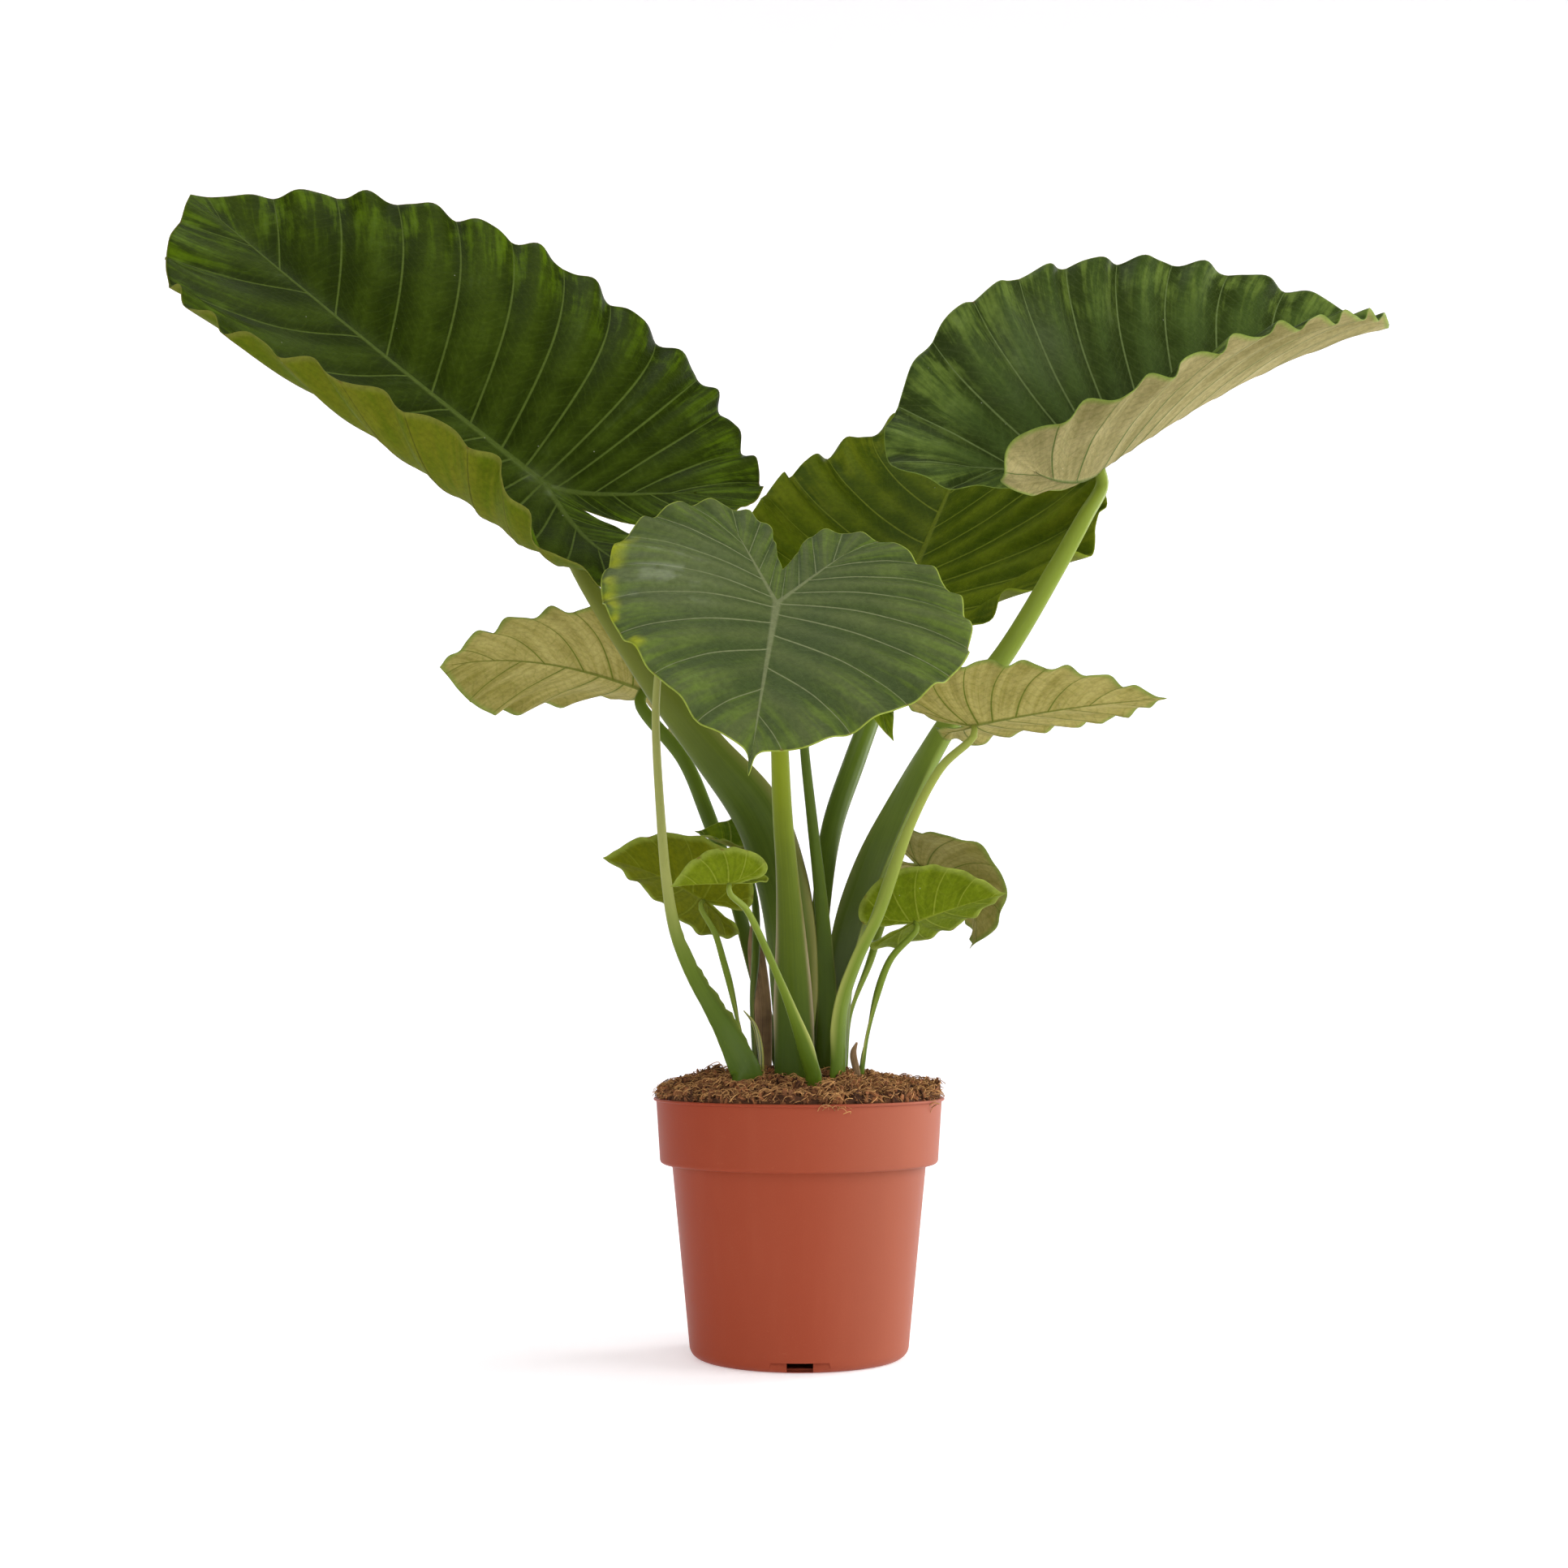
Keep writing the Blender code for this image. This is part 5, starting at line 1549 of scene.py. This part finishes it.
@dataclass(frozen=True)
class LooseBits:
    """One kind of loose bit: its finish, its size in metres, and how its turn and scale vary."""

    finish: EarthFinish
    size: float
    turn_from: Triple
    turn_to: Triple
    smallest: Triple
    largest: Triple
    curved: bool
    bow: tuple[Triple, Triple, Triple] = ((-0.5, 0.0, 0.0), (0.1, 0.75, 0.55), (0.4, -0.1, 0.1))
    bow_pieces: int = 6
    sides: int = 3
    thickness: float = 0.034
    lift: float = 0.0012

    def shape(self, g: Shaper) -> bpy.types.NodeSocket:
        """Add one bit to a tree: a bowed fibre with few sides, or a lump.

        Args:
            g: The tree's builder.

        Returns:
            The socket that holds the bit's mesh.
        """
        if not self.curved:
            return g.node("GeometryNodeMeshIcoSphere", {}, {"Radius": 0.5, "Subdivisions": 1}).outputs[0]
        start, middle, end = self.bow
        bend = g.node("GeometryNodeCurveQuadraticBezier", {},
                      {"Resolution": self.bow_pieces, "Start": start, "Middle": middle, "End": end})
        section = g.node("GeometryNodeCurvePrimitiveCircle", {},
                         {"Resolution": self.sides, "Radius": self.thickness})
        tube = g.node("GeometryNodeCurveToMesh", {},
                      {"Curve": bend.outputs["Curve"], "Profile Curve": section.outputs["Curve"],
                       "Fill Caps": True})
        return tube.outputs[0]

    def scatter(self, name: str, carrier: bpy.types.Object, count: int, seed: int) -> bpy.types.Object:
        """Scatter the bits over a sheet.

        Args:
            name: The new object's name.
            carrier: The open sheet that they lie on, which is removed.
            count: How many, about.
            seed: The seed of their places.

        Returns:
            The scattered bits as one mesh.
        """
        g = Shaper(name)
        many = g.input("Density", "NodeSocketFloat")
        draw = g.input("Seed", "NodeSocketInt")
        size = g.input("Size", "NodeSocketFloat")
        paint = g.input("Material", "NodeSocketMaterial")
        points = g.node("GeometryNodeDistributePointsOnFaces", {"distribute_method": "RANDOM"},
                        {"Mesh": g.start.outputs["Geometry"], "Density": many, "Seed": draw})
        spin = g.node("FunctionNodeRandomValue", {"data_type": "FLOAT_VECTOR"},
                      {"Min": self.turn_from, "Max": self.turn_to, "Seed": draw})
        grow = g.node("FunctionNodeRandomValue", {"data_type": "FLOAT_VECTOR"},
                      {"Min": self.smallest, "Max": self.largest, "Seed": draw})
        scaled = g.node("ShaderNodeVectorMath", {"operation": "SCALE"},
                        {0: grow.outputs["Value"], "Scale": size})
        placed = g.node("GeometryNodeInstanceOnPoints", {},
                        {"Points": points.outputs["Points"], "Instance": self.shape(g),
                         "Rotation": spin.outputs["Value"], "Scale": scaled.outputs["Vector"]})
        lift = g.node("ShaderNodeCombineXYZ", {}, {"Z": self.lift})
        raised = g.node("GeometryNodeTranslateInstances", {},
                        {"Instances": placed.outputs["Instances"],
                         "Translation": lift.outputs["Vector"], "Local Space": False})
        tone = g.node("FunctionNodeRandomValue", {"data_type": "FLOAT"}, {"Seed": draw})
        toned = g.node("GeometryNodeStoreNamedAttribute", {"data_type": "FLOAT", "domain": "INSTANCE"},
                       {"Geometry": raised.outputs["Instances"], "Name": "tone",
                        "Value": tone.outputs[1]})
        real = g.node("GeometryNodeRealizeInstances", {}, {"Geometry": toned.outputs["Geometry"]})
        dressed = g.node("GeometryNodeSetMaterial", {},
                         {"Geometry": real.outputs["Geometry"], "Material": paint})
        g.tree.links.new(dressed.outputs["Geometry"], g.end.inputs["Geometry"])

        area = sum(face.area for face in carrier.data.polygons)
        return g.apply(carrier, {"Density": count / area, "Seed": seed, "Size": self.size,
                                 "Material": MATERIALS[self.finish.name]}, name)


FIBRES = LooseBits(FIBRE, 0.0105, turn_from=(-0.5, -0.5, 0.0), turn_to=(0.5, 0.5, FULL_TURN),
                   smallest=(0.35, 0.35, 0.35), largest=(1.3, 1.3, 1.3), curved=True)
CHIPS = LooseBits(CHIP, 0.0080, turn_from=(0.0, 0.0, 0.0), turn_to=(FULL_TURN, FULL_TURN, FULL_TURN),
                  smallest=(0.35, 0.20, 0.12), largest=(1.5, 0.8, 0.5), curved=False)


@dataclass
class SoilBed:
    """The lumpy coir and bark soil: a closed bed, and loose fibres and chips scattered on it.

    A heap is a place, a reach and a height. A spill is a direction about Z in degrees.
    """

    edge_height: float = 0.2170
    mound: float = 0.0150
    lump: float = 0.0022
    lump_beats: Mark = (95, 110, 190, 70)
    second_lump: float = 0.6
    crumb: float = 0.0012
    crumb_seed: int = 11
    crumb_waves: int = 60
    crumb_beats: Pair = (250, 1500)
    crumb_fall: float = 120
    heaps: tuple[Mark, ...] = (
        (-0.075, 0.000, 0.035, 0.0050), (0.045, 0.000, 0.020, 0.0020), (0.108, 0.000, 0.022, 0.0040),
        (-0.002, -0.070, 0.030, -0.0055))
    inset: float = 0.0030
    side_rings: tuple[Pair, ...] = ((0.0880, 0.0150), (0.1008, 0.1580))
    side_drop: float = 0.0060
    steps: int = 220
    rings: int = 70
    sheet_steps: int = 72
    sheet_rings: int = 30
    sheet_outside: float = 0.0002
    sheet_drop: float = 0.0010
    sheet_centre: float = 0.0020
    fibres: int = 4600
    chips: int = 2600
    strays: int = 70
    seeds: tuple[int, int, int] = (3, 8, 5)
    spills: tuple[float, ...] = (-79.0, -74.5, -27.0, 168.0, 40.0)
    spill_reach: float = 2.6
    spill_rows: tuple[Pair, ...] = (
        (-0.0040, 0.0060), (0.0036, 0.0035), (0.0042, -0.0010), (0.0026, -0.0100))

    def height(self, x: np.ndarray, y: np.ndarray) -> np.ndarray:
        """Height of the mound with its lumps, crumbs and heaps."""
        r2 = (x * x + y * y) / POT_RIM ** 2
        k1, k2, k3, k4 = self.lump_beats
        lumps = np.sin(k1 * x + 2) * np.cos(k2 * y) + self.second_lump * np.sin(k3 * y + k4 * x)
        rng = np.random.default_rng(self.crumb_seed)
        crumbs = np.zeros_like(x)
        for _ in range(self.crumb_waves):
            angle, beat = rng.uniform(0, math.pi), rng.uniform(*self.crumb_beats)
            phase = rng.uniform(0, 2 * math.pi)
            across = x * math.cos(angle) + y * math.sin(angle)
            crumbs += np.sin(across * beat + phase) * self.crumb_fall / beat
        heaps = sum(high * np.exp(-((x - at_x) ** 2 + (y - at_y) ** 2) / reach ** 2)
                    for at_x, at_y, reach, high in self.heaps)
        return (self.edge_height + self.mound * (1 - r2) + self.lump * lumps
                + self.crumb * crumbs + heaps)

    def edge(self) -> float:
        """Radius of the bed's top, just inside the pot's wall."""
        return POT_RIM - self.inset

    def ring(self, radius: float, steps: int, z: float | None = None) -> list[Triple]:
        """Vertices round the axis, at one height or on the mound where no height is given."""
        angles = np.linspace(0, 2 * math.pi, steps, endpoint=False)
        x, y = radius * np.cos(angles), radius * np.sin(angles)
        return list(zip(x, y, self.height(x, y) if z is None else np.full(steps, z)))

    def bed(self) -> bpy.types.Object:
        """Make the closed bed.

        Returns:
            The bed's object.
        """
        verts = []
        for radius, z in (*self.side_rings, (self.edge(), POT_HEIGHT - self.side_drop)):
            verts += self.ring(radius, self.steps, z)
        for radius in np.linspace(self.edge(), 0, self.rings + 1)[:-1]:
            verts += self.ring(radius, self.steps)
        centre = np.zeros(1)
        verts.append((0.0, 0.0, float(self.height(centre, centre)[0])))
        rows = len(verts) // self.steps
        last = (rows - 1) * self.steps
        faces = [tuple(range(self.steps))[::-1], *band_faces(rows, self.steps)]
        faces += [(last + j, last + (j + 1) % self.steps, len(verts) - 1) for j in range(self.steps)]
        return new_piece("soil_bed", np.array(verts), faces, MATERIALS[BED.name])

    def sheet(self) -> bpy.types.Object:
        """The mound's upper face and the top of its side, as an open sheet for the scatter."""
        edge = self.edge() + self.sheet_outside
        verts = self.ring(edge, self.sheet_steps, POT_HEIGHT - self.sheet_drop)
        for radius in np.linspace(edge, self.sheet_centre, self.sheet_rings):
            verts += self.ring(radius, self.sheet_steps)
        faces = band_faces(self.sheet_rings + 1, self.sheet_steps)
        return new_piece("soil_patch", np.array(verts), faces, MATERIALS[BED.name])

    def spill(self) -> bpy.types.Object:
        """A few narrow strips over the rim for fibres that hang out of the pot."""
        verts, faces = [], []
        for middle in self.spills:
            first = len(verts)
            for out, up in self.spill_rows:
                for turn in (-self.spill_reach, self.spill_reach):
                    a = math.radians(middle + turn)
                    r = POT_RIM + out
                    verts.append((r * math.cos(a), r * math.sin(a), POT_HEIGHT + up))
            for a in range(first, len(verts) - 2, 2):
                faces.append((a, a + 2, a + 3, a + 1))
        return new_piece("soil_spill_patch", np.array(verts), faces, MATERIALS[BED.name])

    def build(self) -> list[bpy.types.Object]:
        """Make the bed, the fibres and the chips.

        Returns:
            The soil's objects.
        """
        fibre_seed, chip_seed, stray_seed = self.seeds
        fibres = FIBRES.scatter("soil_fibres", self.sheet(), self.fibres, fibre_seed)
        chips = CHIPS.scatter("soil_chips", self.sheet(), self.chips, chip_seed)
        strays = FIBRES.scatter("soil_strays", self.spill(), self.strays, stray_seed)
        bed = self.bed()
        hand_over(bed, Slot.SOIL, "soil")
        for loose in (fibres, chips, strays):
            hand_over(loose, Slot.SOIL)
        return [bed, fibres, chips, strays]


@dataclass(frozen=True)
class FootCut:
    """A cut into the pot's foot: its width at the bottom, its taper upwards and its two heights.

    It starts at a share of the wall's outer radius, less a depth.
    """

    wide: float
    taper: float
    low: float
    high: float
    face_share: float
    depth: float


@dataclass
class NurseryPot:
    """The moulded pot: a turned wall with a beaded rim, a deeper band, and notches with drain slots.

    A cut reaches from its start to past the wall's face, which is measured at the notch's top.
    """

    rim_radius: float = POT_RIM
    height: float = POT_HEIGHT
    band_bottom: float = 0.1590
    band_low: float = 0.1166
    body_top: float = 0.1064
    body_low: float = 0.0914
    foot: float = 0.0810
    foot_round: float = 0.0100
    bead: float = 0.0022
    lip: float = 0.0022
    wall: float = 0.0022
    floor: float = 0.0030
    band_round: float = 0.0035
    foot_inside: float = 0.0050
    step_top: float = 0.0180
    ledge_rise: float = 0.0008
    soften: float = 0.0006
    crease: float = 0.0005
    bead_pieces: int = 10
    band_pieces: int = 8
    foot_pieces: int = 10
    steps: int = 200
    weld: float = 0.00002
    sharp: float = 38.0
    notches: int = 3
    notch_top: float = 0.0088
    cut_past: float = 0.0200
    cuts: tuple[FootCut, ...] = (
        FootCut(wide=0.054, taper=0.86, low=-0.0022, high=0.0088, face_share=0.955, depth=0.0012),
        FootCut(wide=0.021, taper=1.0, low=0.0012, high=0.0080, face_share=1.0, depth=0.0120))

    def radius(self, z: float) -> float:
        """Outer radius at a height."""
        if z >= self.band_bottom:
            share = (z - self.band_bottom) / (self.height - self.band_bottom)
            return self.band_low + (self.rim_radius - self.band_low) * share
        share = (z - self.foot_round) / (self.band_bottom - self.foot_round)
        return self.body_low + (self.body_top - self.body_low) * share

    def arc(self, centre: Pair, radius: float, turns: Pair, pieces: int) -> list[Pair]:
        """Points on an arc, with its first and last angle in degrees."""
        angles = np.radians(np.linspace(*turns, pieces + 1))
        return [(centre[0] + radius * math.cos(a), centre[1] + radius * math.sin(a)) for a in angles]

    def profile(self) -> list[Pair]:
        """Radius and height from the floor's middle up inside, over the rim and down to the foot."""
        ledge = self.band_bottom + self.wall
        top = self.height - self.soften
        points = [(0.0, self.floor), (self.foot, self.floor),
                  (self.radius(self.foot_round) - self.foot_inside, self.foot_round),
                  (self.radius(self.step_top) - self.wall, self.step_top),
                  (self.body_top - self.wall, ledge), (self.band_low - self.wall, ledge + self.ledge_rise),
                  (self.radius(top) - self.wall, top),
                  (self.rim_radius - self.wall + self.soften, self.height)]
        half = self.bead / 2
        points += self.arc((self.rim_radius + self.lip - half, self.height - half), half, (90, -90),
                           self.bead_pieces)
        low = self.height - self.bead
        points += [(self.radius(low) + self.crease, low), (self.radius(low), low - self.crease)]
        points += self.arc((self.band_low - self.band_round, self.band_bottom + self.band_round),
                           self.band_round, (0, -90), self.band_pieces)
        points += [(self.body_top + self.soften, self.band_bottom),
                   (self.body_top, self.band_bottom - self.ledge_rise)]
        points += self.arc((self.radius(self.foot_round) - self.foot_round, self.foot_round),
                           self.foot_round, (0, -90), self.foot_pieces)
        return points + [(0.0, 0.0)]

    def turned(self) -> bpy.types.Object:
        """Turn the profile about Z with geometry nodes.

        Returns:
            The closed wall before its slots are cut.
        """
        profile = self.profile()
        line = bpy.data.meshes.new("pot_profile")
        line.from_pydata([(r, 0.0, z) for r, z in profile], [(i, i + 1) for i in range(len(profile) - 1)], [])
        carrier = put("pot_profile", line)

        g = Shaper("pot_turning")
        steps = g.input("Steps", "NodeSocketInt")
        count = g.input("Profile Points", "NodeSocketInt")
        paint = g.input("Material", "NodeSocketMaterial")
        around = g.math("ADD", steps, 1.0)
        grid = g.node("GeometryNodeMeshGrid", {},
                      {"Size X": 1.0, "Size Y": 1.0, "Vertices X": count, "Vertices Y": around})
        place = g.node("GeometryNodeInputPosition")
        parts = g.node("ShaderNodeSeparateXYZ", {}, {0: place.outputs[0]})
        last = g.math("SUBTRACT", count, 1.0)
        number = g.math("ROUND", g.math("MULTIPLY", g.math("ADD", parts.outputs["X"], 0.5), last))
        angle = g.math("MULTIPLY", g.math("ADD", parts.outputs["Y"], 0.5), 2 * math.pi)
        there = g.node("GeometryNodeInputPosition")
        sample = g.node("GeometryNodeSampleIndex", {"data_type": "FLOAT_VECTOR", "domain": "POINT"},
                        {"Geometry": g.start.outputs["Geometry"], "Value": there.outputs[0], "Index": number})
        spot = g.node("ShaderNodeSeparateXYZ", {}, {0: sample.outputs[0]})
        x = g.math("MULTIPLY", spot.outputs["X"], g.math("COSINE", angle))
        y = g.math("MULTIPLY", spot.outputs["X"], g.math("SINE", angle))
        to = g.node("ShaderNodeCombineXYZ", {}, {"X": x, "Y": y, "Z": spot.outputs["Z"]})
        moved = g.node("GeometryNodeSetPosition", {},
                       {"Geometry": grid.outputs["Mesh"], "Position": to.outputs[0]})
        welded = g.node("GeometryNodeMergeByDistance", {},
                        {"Geometry": moved.outputs[0], "Distance": self.weld})
        dressed = g.node("GeometryNodeSetMaterial", {},
                         {"Geometry": welded.outputs[0], "Material": paint})
        g.tree.links.new(dressed.outputs[0], g.end.inputs["Geometry"])
        return g.apply(carrier, {"Steps": self.steps, "Profile Points": len(profile),
                                 "Material": MATERIALS[PLASTIC.name]}, "nursery_pot")

    def build(self) -> bpy.types.Object:
        """Make the pot and cut its foot notches and drain slots.

        Returns:
            The pot's object.
        """
        piece = self.turned()
        face_outwards(piece)
        turns = [math.radians(-90 + 360 * k / self.notches) for k in range(self.notches)]
        cutters = [self.block(turn, cut) for turn in turns for cut in self.cuts]
        for cutter in cutters:
            boolean = piece.modifiers.new(cutter.name, "BOOLEAN")
            boolean.operation = "DIFFERENCE"
            boolean.solver = "EXACT"
            boolean.object = cutter
        evaluated = piece.evaluated_get(bpy.context.evaluated_depsgraph_get())
        mesh = bpy.data.meshes.new_from_object(evaluated)
        piece.modifiers.clear()
        piece.data = mesh
        for cutter in cutters:
            bpy.data.objects.remove(cutter, do_unlink=True)
        mesh.shade_smooth()
        mesh.set_sharp_from_angle(angle=math.radians(self.sharp))
        hand_over(piece, Slot.POT, "pot")
        return piece

    def block(self, turn: float, cut: FootCut) -> bpy.types.Object:
        """A box that cuts the foot from the outside.

        Args:
            turn: Direction about Z in radians.
            cut: The cut's sizes.

        Returns:
            The cutter.
        """
        face = self.radius(self.notch_top)
        start, end = face * cut.face_share - cut.depth, face + self.cut_past
        mesh = bpy.data.meshes.new("slot_cutter")
        shape = bmesh.new()
        bmesh.ops.create_cube(shape, size=1)
        for v in shape.verts:
            r = start + (v.co.x + 0.5) * (end - start)
            t = v.co.y * cut.wide * (cut.taper if v.co.z > 0 else 1.0)
            v.co = (r * math.cos(turn) - t * math.sin(turn), r * math.sin(turn) + t * math.cos(turn),
                    cut.low + (v.co.z + 0.5) * (cut.high - cut.low))
        shape.to_mesh(mesh)
        shape.free()
        mesh.materials.append(MATERIALS[PLASTIC.name])
        return put("slot_cutter", mesh)


@dataclass
class Studio:
    """A pale seamless floor, soft lights and the camera.

    Each light has a name, a place, an aim, a size in metres and a power in watts.
    """

    floor_radius: float = 4.2
    rise: float = 3.4
    fillet: float = 1.3
    flat_rings: int = 7
    fillet_rings: int = 14
    steps: int = 96
    shade: Colour = (0.91, 0.90, 0.91)
    tint: Colour = (0.93, 0.92, 0.93)
    glow_tint: Colour = (1.0, 0.985, 1.0)
    glow: float = 0.37
    ambient: float = 0.06
    camera_at: Triple = (-0.0126, -1.85, 0.3055)
    camera_pitch: float = 95.33
    lens: float = 50.0
    sensor: float = 36.0
    nearest: float = 0.05
    boxes: tuple[tuple[str, Triple, Triple, float, float], ...] = (
        ("right", (2.3, -0.7, 1.4), (0.0, 0.0, 0.4), 1.5, 28.0),
        ("rim", (2.2, 1.2, 0.9), (0.0, 0.0, 0.3), 1.0, 34.0),
        ("front", (0.5, -2.6, 2.3), (0.0, 0.0, 0.5), 1.4, 13.0),
        ("top", (-0.3, 0.2, 3.0), (0.0, 0.0, 0.4), 1.8, 26.0))

    def build(self) -> None:
        """Make the stage, the lights and the camera."""
        self.stage()
        self.lights()
        camera = bpy.data.cameras.new("camera")
        camera.lens = self.lens
        camera.sensor_width = self.sensor
        camera.clip_start = self.nearest
        holder = put("camera", camera)
        holder.location = self.camera_at
        holder.rotation_euler = (math.radians(self.camera_pitch), 0.0, 0.0)
        bpy.context.scene.camera = holder
        bpy.context.scene.view_settings.view_transform = "Standard"

    def stage(self) -> None:
        """Make the floor, which turns up into a wall all round."""
        flat = self.floor_radius - self.fillet
        rows = [(flat * k / (self.flat_rings + 1), 0.0) for k in range(1, self.flat_rings + 1)]
        rows += [(flat + self.fillet * math.sin(a), self.fillet * (1 - math.cos(a)))
                 for a in np.linspace(0, math.pi / 2, self.fillet_rings)]
        rows.append((self.floor_radius, self.rise))
        angles = [2 * math.pi * j / self.steps for j in range(self.steps)]
        verts = [(0.0, 0.0, 0.0)] + [(r * math.cos(a), r * math.sin(a), z) for r, z in rows for a in angles]
        faces = [(0, 1 + j, 1 + (j + 1) % self.steps) for j in range(self.steps)]
        faces += [(a + 1, d + 1, c + 1, b + 1) for a, b, c, d in band_faces(len(rows), self.steps)]
        p = Painter("studio_floor")
        pale = p.mix(p.noise(p.place(), 1.5, 2.0), self.shade, self.tint)
        material = p.dress(base_color=pale, roughness=0.9, specular_ior_level=0.1,
                           emission_color=self.glow_tint, emission_strength=self.glow)
        new_piece("studio_floor", np.array(verts), faces, material)

    def lights(self) -> None:
        """Make the soft boxes and the ambient light."""
        world = bpy.data.worlds.new("studio")
        world.use_nodes = True
        background = world.node_tree.nodes["Background"].inputs
        background["Color"].default_value = (1.0, 1.0, 1.0, 1.0)
        background["Strength"].default_value = self.ambient
        bpy.context.scene.world = world
        for name, at, aim, size, power in self.boxes:
            light = bpy.data.lights.new(name, "AREA")
            light.shape = "SQUARE"
            light.size = size
            light.energy = power
            holder = put(name, light)
            way = np.array(aim) - np.array(at)
            holder.location = at
            holder.rotation_euler = (math.acos(-way[2] / np.linalg.norm(way)), 0.0,
                                     math.atan2(way[1], way[0]) - math.pi / 2)


def main() -> None:
    """Build the studio, the pot, the soil and the plant."""
    logging.basicConfig(level=logging.INFO, format="%(name)s: %(message)s")
    Studio().build()
    for finish in FINISHES:
        MATERIALS[finish.name] = finish.build()
    NurseryPot().build()
    SoilBed().build()
    Plant().build()


if __name__ == "__main__":
    main()
